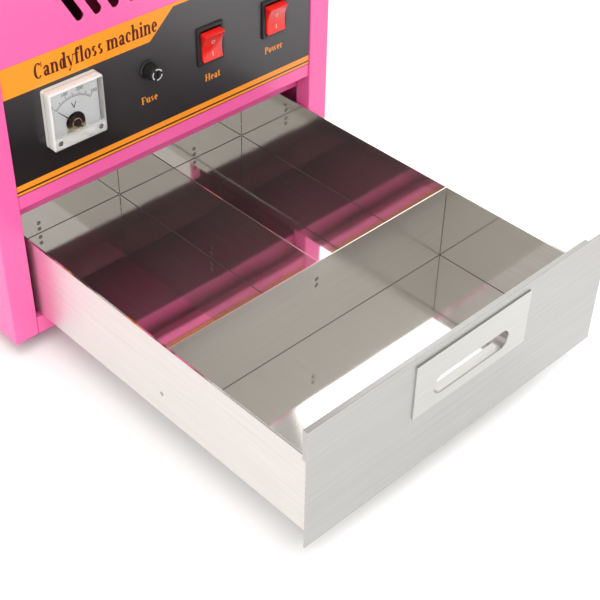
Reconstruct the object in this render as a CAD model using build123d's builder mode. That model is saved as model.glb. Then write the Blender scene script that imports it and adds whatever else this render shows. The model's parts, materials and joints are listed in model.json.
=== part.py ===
from build123d import *
import math
import os

# Table-top cotton candy machine: a folded-steel cabinet with a drawer, a control
# panel, a motor-driven heated spinner head and a lift-off stainless bowl.
# Millimetres. +Z up, +X to the right seen from the front, the front faces -Y.
# The pieces are drawn round the drive axis; at the end they move so that the origin lies on
# the table, under the middle of the whole machine with its drawer open.

# ---- cabinet ----
cabinet_width = 320
cabinet_depth = 390
cabinet_height = 300
cabinet_sheet = 1.2
flange_width = 20
jamb_depth = 15
rear_flange = 14
foot_height = 15
foot_inset = 26
lip_height = 15
opening_height = 98
sheet_gap = 0.3
corner_radius = 3
outer_fold_radius = 1.08
front_fold_radius = 0.72
foot_tread_radius = 11
foot_taper = 7
foot_counterbore = 6
foot_counterbore_depth = 5
foot_screw_hole = 2.6
foot_screw_radius = 2.4
foot_screw_start = 1.6
foot_screw_grip = 7.6
foot_head_radius = 5
foot_head_height = 3.2

# ---- back panel ----
gland_x = -100
gland_rise = 165
gland_hex = 12
gland_hex_height = 6
gland_dome_radius = 10
gland_dome_height = 14
gland_dome_taper = 12
gland_thread_radius = 8
gland_thread_length = 12
gland_bore = 4.5
gland_hole_gap = 0.3
gland_nut_gap = 0.05
gland_nut_height = 3.9
gland_nut_clearance = 4
back_margin = 2
back_rows = 5
back_columns = 7
back_vent_length = 20
back_vent_height = 5
back_vent_pitch_x = 26
back_vent_pitch_z = 12
back_vent_share = 0.72
back_screw_shares = (0.06, 0.35, 0.65, 0.94)
back_screw_radius = 3.6
back_screw_height = 2.2
back_screw_taper = 12

# ---- control panel ----
panel_recess = 1.5
panel_return = 8
overlay_height = 98.5
overlay_margin = 11
overlay_sheet = 0.4
control_rise = 56
meter_drop = 5
vent_count = 12
vent_row_x = -1
vent_pitch = 14.7
vent_width = 7
vent_length = 40
vent_lean = 29.5
vent_clearance_above_overlay = 13.5
meter_hole_gap = 0.5
fuse_hole_gap = 0.3
switch_hole_gap = 0.4
overlay_side_gap = 0.2

# ---- electronics shelf ----
shelf_rise = 2
rail_drop = 18
shelf_flange = 12

# ---- drawer ----
drawer_out = 288
drawer_side_gap = 3
drawer_floor_gap = 4
tray_rear_room = 20
tray_headroom = 28
tray_sheet = 0.8
tray_hem = 8
tray_fold_radius = 0.64
divider_drop = 1
front_tab_overlap = 1
front_compartment = 132
front_sheet = 1.0
front_top_gap = 4
front_bottom_gap = 6.6
front_left_setback = 1
front_right_cover = 16
front_hem_depth = 4
front_hem_lip = 5
front_hem_short = 6
divider_flange = 10
handle_plate_width = 113
handle_plate_height = 45.4
handle_plate_sheet = 1.2
handle_centre_x = 11
handle_slot_length = 75
handle_slot_height = 15
handle_slot_below_top = 36.6
handle_plate_below_top = 7
handle_lip_depth = 7
handle_plate_corner = 0.8
handle_edge_radius = 0.96
guide_sheet = 1.2
guide_shelf_width = 13
guide_wall_height = 26
guide_side_gap = 1.3
guide_floor_gap = 0.2
seat = 0.05

# ---- panel voltmeter ----
meter_side = 45
meter_x = -89
meter_flange = 3
meter_cover_height = 7
meter_cover_wall = 1.4
meter_barrel_radius = 18
meter_barrel_length = 22
meter_dial_gap = 1.0
meter_pivot_drop = 9
meter_screw_inset = 5.5
meter_corner = 2
meter_cover_chamfer = 1.0
meter_screw_pocket = 2.0
meter_pocket_depth = 1.0
meter_screw_radius = 1.8
meter_screw_height = 0.9
meter_slot_length = 3.0
meter_slot_width = 0.5
meter_slot_depth = 0.4
dial_margin = 0.5
dial_seat = 0.2
window_radius = 8
window_drop = 12
core_radius = 7
core_height = 2.6
core_bridge_half = 6.5
core_bridge_low = 9
core_bridge_high = 6
core_bridge_height = 2.0
core_post_half = 2.5
core_post_high = 4
core_post_height = 3.0
core_bore = 0.75
core_bore_start = 1.0
needle_length = 21
needle_tail = 5
needle_hub = 2.2
needle_root_half = 0.8
needle_tip_half = 0.2
needle_thickness = 0.5
needle_lift = 4.0
needle_pin = 0.7
needle_pin_length = 2.6
needle_rest_angle = 135
terminal_spread = 9
terminal_radius = 2
terminal_length = 12
terminal_nut = 4
terminal_nut_height = 3

# ---- rocker switches ----
switch_width = 25.5
switch_height = 31
switch_bezel = 2
switch_side_cover = 1.75
switch_end_cover = 1.5
switch_depth = 24
switch_wall = 1.2
heat_x = 36.5
power_x = 100.5
switch_corner = 1.5
switch_chamfer = 0.8
switch_well = 12
switch_pivot_depth = 1.5
switch_pin_radius = 1.2
switch_pin_gap = 0.05
switch_pin_wall = 0.3
switch_pin_reach = 0.5
rocker_gap = 0.5
rocker_end_gap = 1.3
rocker_tilt = 8
rocker_proud = 5.0
rocker_hollow = 1.4
rocker_crest = 1.2
rocker_shoulder = 1.4
rocker_back = 2.6
rocker_back_share = 0.72
rocker_face_share = 0.97
rocker_edge_radius = 0.6
tab_pitch = 9
tab_thickness = 0.8
tab_width = 4.8
tab_length = 9

# ---- fuse holder ----
fuse_x = -21.5
fuse_flange_reach = 1.5
fuse_flange = 2
fuse_body_radius = 6
fuse_body_length = 30
fuse_wall = 1.4
fuse_nut_reach = 3
fuse_cap_radius = 6.2
fuse_cap_height = 9
cap_stem_radius = 2.0
fuse_back_wall = 2
fuse_edge_chamfer = 0.8
fuse_nut_gap = 0.05
fuse_nut_height = 2.9
fuse_nut_clearance = 3
carrier_gap = 0.4
carrier_setback = 0.5
carrier_length = 8
carrier_socket = 3
glass_gap = 0.05
cap_gap = 0.3
cap_taper = 4
cap_edge_radius = 1.0
cap_slot_width = 1.2
cap_slot_length = 8
cap_slot_depth = 1.4
cap_rib_count = 16
cap_rib_radius = 0.5
cap_rib_reach = 0.1
cap_rib_margin = 2.5
cap_stem_length = 3
cap_stem_socket = 2.5
glass_radius = 2.55
glass_length = 20

# ---- drive ----
motor_radius = 46
motor_height = 94
motor_wall = 2.5
motor_clearance_below = 15
shaft_radius = 6
shaft_running_gap = 0.05
bearing_radius = 13
bearing_width = 7
stator_inner = 31
rotor_radius = 30
bracket_sheet = 3
bracket_margin = 25
bracket_corner = 10
stud_margin = 10
stud_radius = 3
ring_radius = 18
ring_width = 7
hub_radius = 15
brush_width = 6
motor_end_room = 22
bearing_lip = 2
winding_height = 6
winding_inset = 3
winding_overlap = 2
shaft_start = 1
bracket_hole_gap = 2
bracket_mount_hole = 5
stud_gap = 0.3
stud_drop = 9
stud_tip = 4
stud_head_radius = 5.5
stud_head_height = 3.2
stud_nut = 6
stud_nut_height = 3
stud_nut_rise = 1.5
mount_radius = 9
mount_height = 5
ring_rise = 16
ring_pitch = 14
hub_margin = 4
brush_gap = 0.3
brush_play = 0.1
brush_back_wall = 2
brush_spring_room = 5
holder_gap = 9
holder_length = 16
holder_half = 8
holder_cover = 3

# ---- parts on the electronics shelf ----
block_x = -105
block_y = 90
block_half_length = 30
block_half_width = 10
block_ridge_half = 6
block_base_height = 12
block_height = 18
block_ways = 6
block_pitch = 9.6
block_hole_radius = 2.4
block_hole_depth = 4
block_screw_radius = 2.2
block_screw_height = 2.4
capacitor_x = 110
capacitor_y = 70
capacitor_radius = 17
capacitor_height = 52
capacitor_edge = 2
capacitor_tab_offset = 6
capacitor_tab_width = 5
capacitor_tab_thickness = 0.8
capacitor_tab_height = 7
clip_gap = 0.05
clip_sheet = 1.2
clip_rise = 18
clip_band = 10
clip_half_width = 5
clip_leg_height = 24
clip_foot_length = 12.6

# ---- spinner head ----
head_radius = 65
head_base_thickness = 6
head_band_height = 34
head_band_wall = 1.0
head_slot_count = 60
head_cap_thickness = 3
head_above_boss = 14
funnel_radius = 24
funnel_lip = 8
funnel_depth = 8
funnel_edge = 2
funnel_foot = 6.6
head_base_chamfer = 6
head_hub_radius = 10
head_hub_height = 8
head_slot_width = 1.6
head_slot_margin = 5
head_slot_reach = 4
head_cap_chamfer = 4
post_circle = 50
post_radius = 3
post_count = 6
post_headroom = 6
coil_turns = 3
coil_pitch = 7
coil_offset = 5.5
coil_radius = 2.2
nut_across = 9
nut_height = 7
nut_edge = 1
nut_stud_radius = 4
nut_stud_height = 3

# ---- bowl ----
boss_radius = 80
boss_height = 15
boss_hole = 25
boss_edge_radius = 2
bowl_hole_gap = 4
bowl_floor_radius = 192
bowl_wall_lean = 78
bowl_depth = 178
bowl_sheet = 1.0
bowl_corner = 30
bowl_lip_height = 10
bowl_bead = 4
gasket_inner = 142
gasket_width = 10
gasket_height = 3

# ---- places worked out from the sizes above ----
half_width = cabinet_width / 2
front_y = -cabinet_depth / 2
back_y = cabinet_depth / 2
bottom_z = foot_height
top_z = bottom_z + cabinet_height
opening_half = half_width - flange_width
panel_bottom = bottom_z + lip_height + opening_height
panel_y = front_y + panel_recess
overlay_bottom = panel_bottom + overlay_margin
overlay_top = overlay_bottom + overlay_height
control_z = overlay_bottom + control_rise
meter_z = control_z - meter_drop
vent_bottom = overlay_top + vent_clearance_above_overlay
switch_cut_width = switch_width - 2 * switch_side_cover
switch_cut_height = switch_height - 2 * switch_end_cover
face_y = panel_y - overlay_sheet
inside_half = half_width - cabinet_sheet
shelf_z = panel_bottom + shelf_rise
rail_y = front_y + jamb_depth + cabinet_sheet
deck_top = top_z + cabinet_sheet

tray_bottom = bottom_z + lip_height + drawer_floor_gap
tray_top = panel_bottom - tray_headroom
tray_depth = cabinet_depth - tray_rear_room
tray_half = opening_half - drawer_side_gap
drawer_front_y = front_y - drawer_out
tray_front_y = drawer_front_y + front_sheet
tray_back_y = drawer_front_y + tray_depth
cross_y = drawer_front_y + front_compartment
front_left = -opening_half + front_left_setback
front_right = opening_half + front_right_cover
front_top = panel_bottom - front_top_gap
front_bottom = bottom_z + front_bottom_gap
slot_z = front_top - handle_slot_below_top

stud_circle = motor_radius + stud_margin
motor_bottom = shelf_z + cabinet_sheet + motor_clearance_below
motor_top = motor_bottom + motor_height
bracket_top = motor_top + bracket_sheet
ring_low_z = bracket_top + ring_rise
ring_high_z = ring_low_z + ring_pitch
boss_top = deck_top + boss_height
head_bottom = boss_top + head_above_boss
band_bottom = head_bottom + head_base_thickness
band_top = band_bottom + head_band_height
cap_top = band_top + head_cap_thickness
gasket_bottom = deck_top
bowl_bottom = gasket_bottom + gasket_height
bowl_top = bowl_bottom + bowl_depth

pieces = {}
upright = (Align.CENTER, Align.CENTER, Align.MIN)


def front_plane(y):
    """Upright plane at depth y, drawn with x to the right and z up; it faces the front."""
    return Plane.XZ.offset(-y)


def keep(name, builder):
    pieces[name] = builder.part


def block(x0, x1, y0, y1, z0, z1, mode=Mode.ADD):
    """A plain block between two corners, added to or cut from the piece being made."""
    with Locations(((x0 + x1) / 2, (y0 + y1) / 2, (z0 + z1) / 2)):
        Box(x1 - x0, y1 - y0, z1 - z0, mode=mode)


# ---- side panels: outer wall, front flange with its jamb return, and rear flange ----
def side_panel(side):
    with BuildPart() as panel:
        with BuildSketch(Plane.XY.offset(bottom_z)):
            with BuildLine():
                Polyline(
                    (side * opening_half, front_y + jamb_depth),
                    (side * opening_half, front_y),
                    (side * half_width, front_y),
                    (side * half_width, back_y),
                    (side * (half_width - rear_flange), back_y),
                    (side * (half_width - rear_flange), back_y - cabinet_sheet),
                    (side * inside_half, back_y - cabinet_sheet),
                    (side * inside_half, front_y + cabinet_sheet),
                    (side * (opening_half + cabinet_sheet), front_y + cabinet_sheet),
                    (side * (opening_half + cabinet_sheet), front_y + jamb_depth),
                    close=True,
                )
            make_face()
        extrude(amount=cabinet_height)
        outer = panel.edges().filter_by(Axis.Z).group_by(Axis.X)[-1 if side > 0 else 0]
        fillet(outer, outer_fold_radius)
        front_edge = panel.edges().filter_by(Axis.Z).sort_by_distance((side * opening_half, front_y, 0))[:1]
        fillet(front_edge, front_fold_radius)
    return panel


keep("left_side_panel", side_panel(-1))
keep("right_side_panel", side_panel(1))

# ---- base pan: floor with a front lip that stands between the jambs ----
foot_places = [(sx * (half_width - foot_inset), sy * (back_y - foot_inset))
               for sx in (-1, 1) for sy in (-1, 1)]
with BuildPart() as base_pan:
    pan_half = inside_half - sheet_gap
    pan_front = rail_y + sheet_gap
    block(-pan_half, pan_half, pan_front, back_y - cabinet_sheet - sheet_gap,
          bottom_z, bottom_z + cabinet_sheet)
    block(-opening_half + sheet_gap, opening_half - sheet_gap, front_y, pan_front,
          bottom_z, bottom_z + cabinet_sheet)
    block(-opening_half + sheet_gap, opening_half - sheet_gap, front_y, front_y + cabinet_sheet,
          bottom_z, bottom_z + lip_height)
    block(-opening_half + sheet_gap, opening_half - sheet_gap, front_y, front_y + jamb_depth / 2,
          bottom_z + lip_height - cabinet_sheet, bottom_z + lip_height)
    with Locations(*[(x, y, bottom_z) for x, y in foot_places]):
        Cylinder(foot_screw_hole, 4 * cabinet_sheet, mode=Mode.SUBTRACT)
keep("base_pan", base_pan)

with BuildPart() as rubber_feet:
    for foot_x, foot_y in foot_places:
        with BuildSketch(Plane.XY):
            with Locations((foot_x, foot_y)):
                Circle(foot_tread_radius)
        extrude(amount=foot_height, taper=-foot_taper)
        with Locations((foot_x, foot_y, 0)):
            Cylinder(foot_counterbore, foot_counterbore_depth, align=upright, mode=Mode.SUBTRACT)
            Cylinder(foot_screw_hole, foot_height * 2, mode=Mode.SUBTRACT)
keep("rubber_feet", rubber_feet)

with BuildPart() as foot_screws:
    with Locations(*[(x, y, foot_screw_start) for x, y in foot_places]):
        Cylinder(foot_head_radius, foot_head_height, align=upright)
        Cylinder(foot_screw_radius, foot_height - foot_screw_start + foot_screw_grip, align=upright)
keep("foot_screws", foot_screws)

# ---- front panel with vents and control cut-outs, and its printed overlay ----
vent_first = vent_row_x - vent_pitch * (vent_count - 1) / 2
vent_rise = vent_length * math.cos(math.radians(vent_lean))
vent_centres = [(vent_first + k * vent_pitch, vent_bottom + vent_rise / 2) for k in range(vent_count)]


def control_cuts():
    """Holes for the voltmeter, fuse holder and both switches, in an upright sketch."""
    with Locations((meter_x, meter_z)):
        Circle(meter_barrel_radius + meter_hole_gap, mode=Mode.SUBTRACT)
    with Locations((fuse_x, control_z)):
        Circle(fuse_body_radius + fuse_hole_gap, mode=Mode.SUBTRACT)
    with Locations((heat_x, control_z), (power_x, control_z)):
        Rectangle(switch_cut_width + switch_hole_gap, switch_cut_height + switch_hole_gap, mode=Mode.SUBTRACT)


panel_half = opening_half - sheet_gap
panel_top = top_z - sheet_gap
with BuildPart() as front_panel:
    with BuildSketch(front_plane(panel_y)):
        with Locations((0, (panel_bottom + panel_top) / 2)):
            Rectangle(2 * panel_half, panel_top - panel_bottom)
        control_cuts()
        with Locations(*vent_centres):
            SlotOverall(vent_length, vent_width, rotation=90 + vent_lean, mode=Mode.SUBTRACT)
    extrude(amount=-cabinet_sheet)
    block(-panel_half, panel_half, panel_y, panel_y + panel_return,
          panel_bottom, panel_bottom + cabinet_sheet)
keep("front_panel", front_panel)

with BuildPart() as control_overlay:
    with BuildSketch(front_plane(face_y)):
        with Locations((0, (overlay_bottom + overlay_top) / 2)):
            Rectangle(2 * (panel_half - overlay_side_gap), overlay_height)
        control_cuts()
    extrude(amount=-overlay_sheet)
keep("control_overlay", control_overlay)

# ---- back panel: screwed on from behind, with rows of vent slots and the cable gland ----
gland_z = bottom_z + gland_rise
back_face = back_y + cabinet_sheet
with BuildPart() as back_panel:
    with BuildSketch(front_plane(back_face)):
        with Locations((0, bottom_z + cabinet_height / 2)):
            RectangleRounded(cabinet_width - 2 * back_margin, cabinet_height - 2 * back_margin, corner_radius)
        with Locations((0, bottom_z + cabinet_height * back_vent_share)):
            with GridLocations(back_vent_pitch_x, back_vent_pitch_z, back_columns, back_rows):
                SlotOverall(back_vent_length, back_vent_height, mode=Mode.SUBTRACT)
        with Locations((gland_x, gland_z)):
            Circle(gland_thread_radius + gland_hole_gap, mode=Mode.SUBTRACT)
    extrude(amount=cabinet_sheet)
keep("back_panel", back_panel)

back_screw_places = [(sx * (half_width - rear_flange / 2), bottom_z + cabinet_height * share)
                     for sx in (-1, 1) for share in back_screw_shares]
with BuildPart() as back_panel_screws:
    for screw_x, screw_z in back_screw_places:
        with BuildSketch(front_plane(back_face)):
            with Locations((screw_x, screw_z)):
                Circle(back_screw_radius)
        extrude(amount=-back_screw_height, taper=back_screw_taper)
keep("back_panel_screws", back_panel_screws)

with BuildPart() as cable_gland:
    with BuildSketch(front_plane(back_face)):
        with Locations((gland_x, gland_z)):
            RegularPolygon(gland_hex, 6)
    extrude(amount=-gland_hex_height)
    with BuildSketch(front_plane(back_face + gland_hex_height)):
        with Locations((gland_x, gland_z)):
            Circle(gland_dome_radius)
    extrude(amount=-gland_dome_height, taper=gland_dome_taper)
    with BuildSketch(front_plane(back_face)):
        with Locations((gland_x, gland_z)):
            Circle(gland_thread_radius)
    extrude(amount=gland_thread_length)
    with BuildSketch(front_plane(back_face - gland_thread_length)):
        with Locations((gland_x, gland_z)):
            Circle(gland_bore)
    extrude(amount=-(gland_thread_length + gland_hex_height + gland_dome_height), mode=Mode.SUBTRACT)
keep("cable_gland", cable_gland)

with BuildPart() as gland_nut:
    with BuildSketch(front_plane(back_y - gland_nut_clearance)):
        with Locations((gland_x, gland_z)):
            RegularPolygon(gland_hex, 6)
            Circle(gland_thread_radius + gland_nut_gap, mode=Mode.SUBTRACT)
    extrude(amount=-gland_nut_height)
keep("gland_nut", gland_nut)

# ---- electronics shelf: separates the drawer bay from the wiring space ----
with BuildPart() as electronics_shelf:
    shelf_half = inside_half - sheet_gap
    shelf_back = back_y - cabinet_sheet - sheet_gap
    block(-shelf_half, shelf_half, rail_y, shelf_back, shelf_z, shelf_z + cabinet_sheet)
    block(-shelf_half, shelf_half, rail_y, rail_y + cabinet_sheet,
          shelf_z - rail_drop, shelf_z + cabinet_sheet)
    for side in (-1, 1):
        low_x, high_x = sorted((side * shelf_half, side * (shelf_half - cabinet_sheet)))
        block(low_x, high_x, rail_y, shelf_back, shelf_z, shelf_z + shelf_flange)
keep("electronics_shelf", electronics_shelf)

# ---- drawer guides: a shelf under each tray edge and a wall beside it ----
guide_wall_x = tray_half + guide_side_gap
guide_front = rail_y + sheet_gap
guide_back = back_y - cabinet_sheet - 2 * sheet_gap
guide_top = tray_bottom - guide_floor_gap
guide_fix_x = inside_half - sheet_gap
guide_shelf_x = guide_wall_x - guide_shelf_width
with BuildPart() as drawer_guides:
    for side in (-1, 1):
        with BuildSketch(front_plane(guide_front)):
            with BuildLine():
                Polyline(
                    (side * guide_shelf_x, guide_top),
                    (side * guide_wall_x, guide_top),
                    (side * guide_wall_x, guide_top + guide_wall_height),
                    (side * guide_fix_x, guide_top + guide_wall_height),
                    (side * guide_fix_x, guide_top + guide_wall_height - guide_sheet),
                    (side * (guide_wall_x + guide_sheet), guide_top + guide_wall_height - guide_sheet),
                    (side * (guide_wall_x + guide_sheet), guide_top - guide_sheet),
                    (side * guide_shelf_x, guide_top - guide_sheet),
                    close=True,
                )
            make_face()
        extrude(amount=-(guide_back - guide_front))
keep("drawer_guides", drawer_guides)

# ---- top deck: cover with a drawn boss that centres the bowl ----
bracket_width = 2 * (stud_circle * math.cos(math.radians(45)) + bracket_margin)
stud_places = [(stud_circle * math.cos(math.radians(a)), stud_circle * math.sin(math.radians(a)))
               for a in (45, 135, 225, 315)]
with BuildPart() as top_deck:
    with BuildSketch(Plane.XY.offset(top_z)):
        with Locations((0, cabinet_sheet / 2)):
            RectangleRounded(cabinet_width, cabinet_depth + cabinet_sheet, corner_radius)
    extrude(amount=cabinet_sheet)
    with BuildSketch(Plane.XY.offset(top_z)):
        Circle(boss_radius - cabinet_sheet)
    extrude(amount=cabinet_sheet, mode=Mode.SUBTRACT)
    with BuildSketch(Plane.XZ):
        with BuildLine():
            Polyline(
                (boss_radius - cabinet_sheet, top_z),
                (boss_radius, top_z),
                (boss_radius, boss_top),
                (boss_hole, boss_top),
                (boss_hole, boss_top - cabinet_sheet),
                (boss_radius - cabinet_sheet, boss_top - cabinet_sheet),
                close=True,
            )
        make_face()
    revolve(axis=Axis.Z)
    skirt_half = inside_half - sheet_gap
    for side in (-1, 1):
        low_x, high_x = sorted((side * skirt_half, side * (skirt_half - cabinet_sheet)))
        block(low_x, high_x, rail_y, back_y - cabinet_sheet - sheet_gap, top_z - shelf_flange, top_z)
    with Locations(*[(x, y, boss_top) for x, y in stud_places]):
        Cylinder(stud_radius + stud_gap, 4 * cabinet_sheet, mode=Mode.SUBTRACT)
    boss_edge = top_deck.edges().filter_by(GeomType.CIRCLE).group_by(Axis.Z)[-1].sort_by(SortBy.RADIUS)[-1]
    fillet(boss_edge, boss_edge_radius)
keep("top_deck", top_deck)

# ---- voltmeter: cover, dial, movement and needle on a panel body ----
meter_face_y = face_y - meter_flange
meter_cover_y = meter_face_y - meter_cover_height
dial_y = meter_face_y - meter_dial_gap
meter_screw = meter_side / 2 - meter_screw_inset
with BuildPart() as meter_body:
    with BuildSketch(front_plane(face_y)):
        with Locations((meter_x, meter_z)):
            RectangleRounded(meter_side, meter_side, meter_corner)
    extrude(amount=meter_flange)
    with BuildSketch(front_plane(face_y)):
        with Locations((meter_x, meter_z)):
            Circle(meter_barrel_radius)
    extrude(amount=-meter_barrel_length)
keep("meter_body", meter_body)

with BuildPart() as meter_cover:
    with BuildSketch(front_plane(meter_face_y)):
        with Locations((meter_x, meter_z)):
            RectangleRounded(meter_side, meter_side, meter_corner)
    extrude(amount=meter_cover_height)
    chamfer(meter_cover.faces().sort_by(Axis.Y)[0].edges(), meter_cover_chamfer)
    inner_side = meter_side - 2 * meter_cover_wall
    block(meter_x - inner_side / 2, meter_x + inner_side / 2, meter_cover_y + meter_cover_wall, meter_face_y,
          meter_z - inner_side / 2, meter_z + inner_side / 2, mode=Mode.SUBTRACT)
    with BuildSketch(front_plane(meter_cover_y)):
        with Locations(*[(meter_x + side * meter_screw, meter_z - meter_screw) for side in (-1, 1)]):
            Circle(meter_screw_pocket)
    extrude(amount=-meter_pocket_depth, mode=Mode.SUBTRACT)
keep("meter_cover", meter_cover)

pivot_z = meter_z - meter_pivot_drop
with BuildPart() as meter_dial:
    with BuildSketch(front_plane(dial_y)):
        with Locations((meter_x, meter_z)):
            Rectangle(inner_side - 2 * dial_margin, inner_side - 2 * dial_margin)
        with Locations((meter_x, pivot_z)):
            Circle(window_radius, mode=Mode.SUBTRACT)
        with Locations((meter_x, pivot_z - window_drop / 2)):
            Rectangle(2 * window_radius, window_drop, mode=Mode.SUBTRACT)
    extrude(amount=-(meter_dial_gap - dial_seat))
keep("meter_dial", meter_dial)

with BuildPart() as meter_movement:
    with BuildSketch(front_plane(meter_face_y)):
        with Locations((meter_x, pivot_z)):
            Circle(core_radius)
    extrude(amount=core_height)
    block(meter_x - core_bridge_half, meter_x + core_bridge_half,
          meter_face_y - core_bridge_height, meter_face_y, pivot_z - core_bridge_low,
          pivot_z - core_bridge_high)
    block(meter_x - core_post_half, meter_x + core_post_half, meter_face_y - core_post_height, meter_face_y,
          pivot_z - core_bridge_low, pivot_z - core_post_high)
    with BuildSketch(front_plane(meter_face_y - core_bore_start)):
        with Locations((meter_x, pivot_z)):
            Circle(core_bore)
    extrude(amount=core_height, mode=Mode.SUBTRACT)
keep("meter_movement", meter_movement)

needle_y = meter_face_y - needle_lift
with BuildPart() as meter_needle:
    with BuildSketch(front_plane(needle_y)):
        with Locations((meter_x, pivot_z)):
            Circle(needle_hub)
        turn = math.radians(needle_rest_angle)
        tip = (meter_x + needle_length * math.cos(turn), pivot_z + needle_length * math.sin(turn))
        tail = (meter_x - needle_tail * math.cos(turn), pivot_z - needle_tail * math.sin(turn))
        across = (math.sin(turn), -math.cos(turn))
        with BuildLine():
            Polyline(
                (tail[0] + needle_root_half * across[0], tail[1] + needle_root_half * across[1]),
                (tip[0] + needle_tip_half * across[0], tip[1] + needle_tip_half * across[1]),
                (tip[0] - needle_tip_half * across[0], tip[1] - needle_tip_half * across[1]),
                (tail[0] - needle_root_half * across[0], tail[1] - needle_root_half * across[1]),
                close=True,
            )
        make_face()
    extrude(amount=needle_thickness)
    with BuildSketch(front_plane(needle_y)):
        with Locations((meter_x, pivot_z)):
            Circle(needle_pin)
    extrude(amount=-needle_pin_length)
keep("meter_needle", meter_needle)

with BuildPart() as meter_screws:
    for screw_side in (-1, 1):
        with BuildSketch(front_plane(meter_cover_y + meter_pocket_depth)):
            with Locations((meter_x + screw_side * meter_screw, meter_z - meter_screw)):
                Circle(meter_screw_radius)
        extrude(amount=meter_screw_height)
        with BuildSketch(front_plane(meter_cover_y + meter_pocket_depth - meter_screw_height)):
            with Locations((meter_x + screw_side * meter_screw, meter_z - meter_screw)):
                Rectangle(meter_slot_length, meter_slot_width)
        extrude(amount=-meter_slot_depth, mode=Mode.SUBTRACT)
keep("meter_screws", meter_screws)

with BuildPart() as meter_terminals:
    for stud_side in (-1, 1):
        with BuildSketch(front_plane(face_y + meter_barrel_length)):
            with Locations((meter_x + stud_side * terminal_spread, meter_z)):
                Circle(terminal_radius)
        extrude(amount=-terminal_length)
        with BuildSketch(front_plane(face_y + meter_barrel_length)):
            with Locations((meter_x + stud_side * terminal_spread, meter_z)):
                RegularPolygon(terminal_nut, 6)
        extrude(amount=-terminal_nut_height)
keep("meter_terminals", meter_terminals)


# ---- rocker switches: snap-in bodies, each with a rocker that pivots on its side pins ----
rocker_width = switch_cut_width - 2 * switch_wall - 2 * rocker_gap
rocker_height = switch_cut_height - 2 * switch_wall - 2 * rocker_end_gap
rocker_pivot_y = face_y + switch_pivot_depth


def switch_body(x):
    with BuildPart() as body:
        with BuildSketch(front_plane(face_y)):
            with Locations((x, control_z)):
                RectangleRounded(switch_width, switch_height, switch_corner)
        extrude(amount=switch_bezel)
        chamfer(body.faces().sort_by(Axis.Y)[0].edges(), switch_chamfer)
        block(x - switch_cut_width / 2, x + switch_cut_width / 2, face_y, face_y + switch_depth,
              control_z - switch_cut_height / 2, control_z + switch_cut_height / 2)
        block(x - switch_cut_width / 2 + switch_wall, x + switch_cut_width / 2 - switch_wall,
              face_y - switch_bezel, face_y + switch_well,
              control_z - switch_cut_height / 2 + switch_wall,
              control_z + switch_cut_height / 2 - switch_wall, mode=Mode.SUBTRACT)
        with BuildSketch(Plane.YZ.offset(x)):
            with Locations((rocker_pivot_y, control_z)):
                Circle(switch_pin_radius + switch_pin_gap)
        extrude(amount=switch_cut_width / 2 - switch_pin_wall, both=True, mode=Mode.SUBTRACT)
    return body


def switch_rocker(x):
    """The rest position is pressed in at the bottom, so the top half stands proud."""
    half = rocker_height / 2
    reach = rocker_pivot_y - face_y + rocker_proud
    with BuildPart() as rocker:
        with BuildSketch(Plane.YZ.offset(x)):
            with BuildLine():
                Polyline(
                    (rocker_pivot_y + rocker_back, control_z - half * rocker_back_share),
                    (rocker_pivot_y + rocker_back, control_z + half * rocker_back_share),
                    (rocker_pivot_y - rocker_shoulder, control_z + half),
                    (rocker_pivot_y - reach - rocker_crest, control_z + half * rocker_face_share),
                    (rocker_pivot_y - reach + rocker_hollow, control_z),
                    (rocker_pivot_y - reach - rocker_crest, control_z - half * rocker_face_share),
                    (rocker_pivot_y - rocker_shoulder, control_z - half),
                    close=True,
                )
            make_face()
        extrude(amount=rocker_width / 2, both=True)
        fillet(rocker.faces().sort_by(Axis.Y)[:2].edges().filter_by(Axis.X), rocker_edge_radius)
        with BuildSketch(Plane.YZ.offset(x)):
            with Locations((rocker_pivot_y, control_z)):
                Circle(switch_pin_radius)
        extrude(amount=switch_cut_width / 2 - switch_pin_reach, both=True)
    turned = rocker.part.rotate(Axis((x, rocker_pivot_y, control_z), (1, 0, 0)), rocker_tilt)
    with BuildPart() as placed:
        add(turned)
    return placed


keep("heat_switch_body", switch_body(heat_x))
keep("heat_rocker", switch_rocker(heat_x))
keep("power_switch_body", switch_body(power_x))
keep("power_rocker", switch_rocker(power_x))

with BuildPart() as switch_tabs:
    for switch_x in (heat_x, power_x):
        with BuildSketch(front_plane(face_y + switch_depth)):
            with Locations((switch_x, control_z)):
                with GridLocations(tab_pitch, tab_pitch, 2, 2):
                    Rectangle(tab_thickness, tab_width)
        extrude(amount=-tab_length)
keep("switch_tabs", switch_tabs)

# ---- fuse holder: body, nut, carrier with the glass fuse, and the cap that turns ----
fuse_face = face_y - fuse_flange
fuse_bore = fuse_body_radius - fuse_wall
carrier_radius = fuse_bore - carrier_gap
with BuildPart() as fuse_body:
    with BuildSketch(front_plane(face_y)):
        with Locations((fuse_x, control_z)):
            Circle(fuse_body_radius + fuse_flange_reach)
    extrude(amount=fuse_flange)
    with BuildSketch(front_plane(face_y)):
        with Locations((fuse_x, control_z)):
            Circle(fuse_body_radius)
    extrude(amount=-fuse_body_length)
    with BuildSketch(front_plane(fuse_face)):
        with Locations((fuse_x, control_z)):
            Circle(fuse_bore)
    extrude(amount=-(fuse_flange + fuse_body_length - fuse_back_wall), mode=Mode.SUBTRACT)
    chamfer(fuse_body.edges().filter_by(GeomType.CIRCLE).group_by(Axis.Y)[0].sort_by(SortBy.RADIUS)[-1:],
            fuse_edge_chamfer)
keep("fuse_body", fuse_body)

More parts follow.
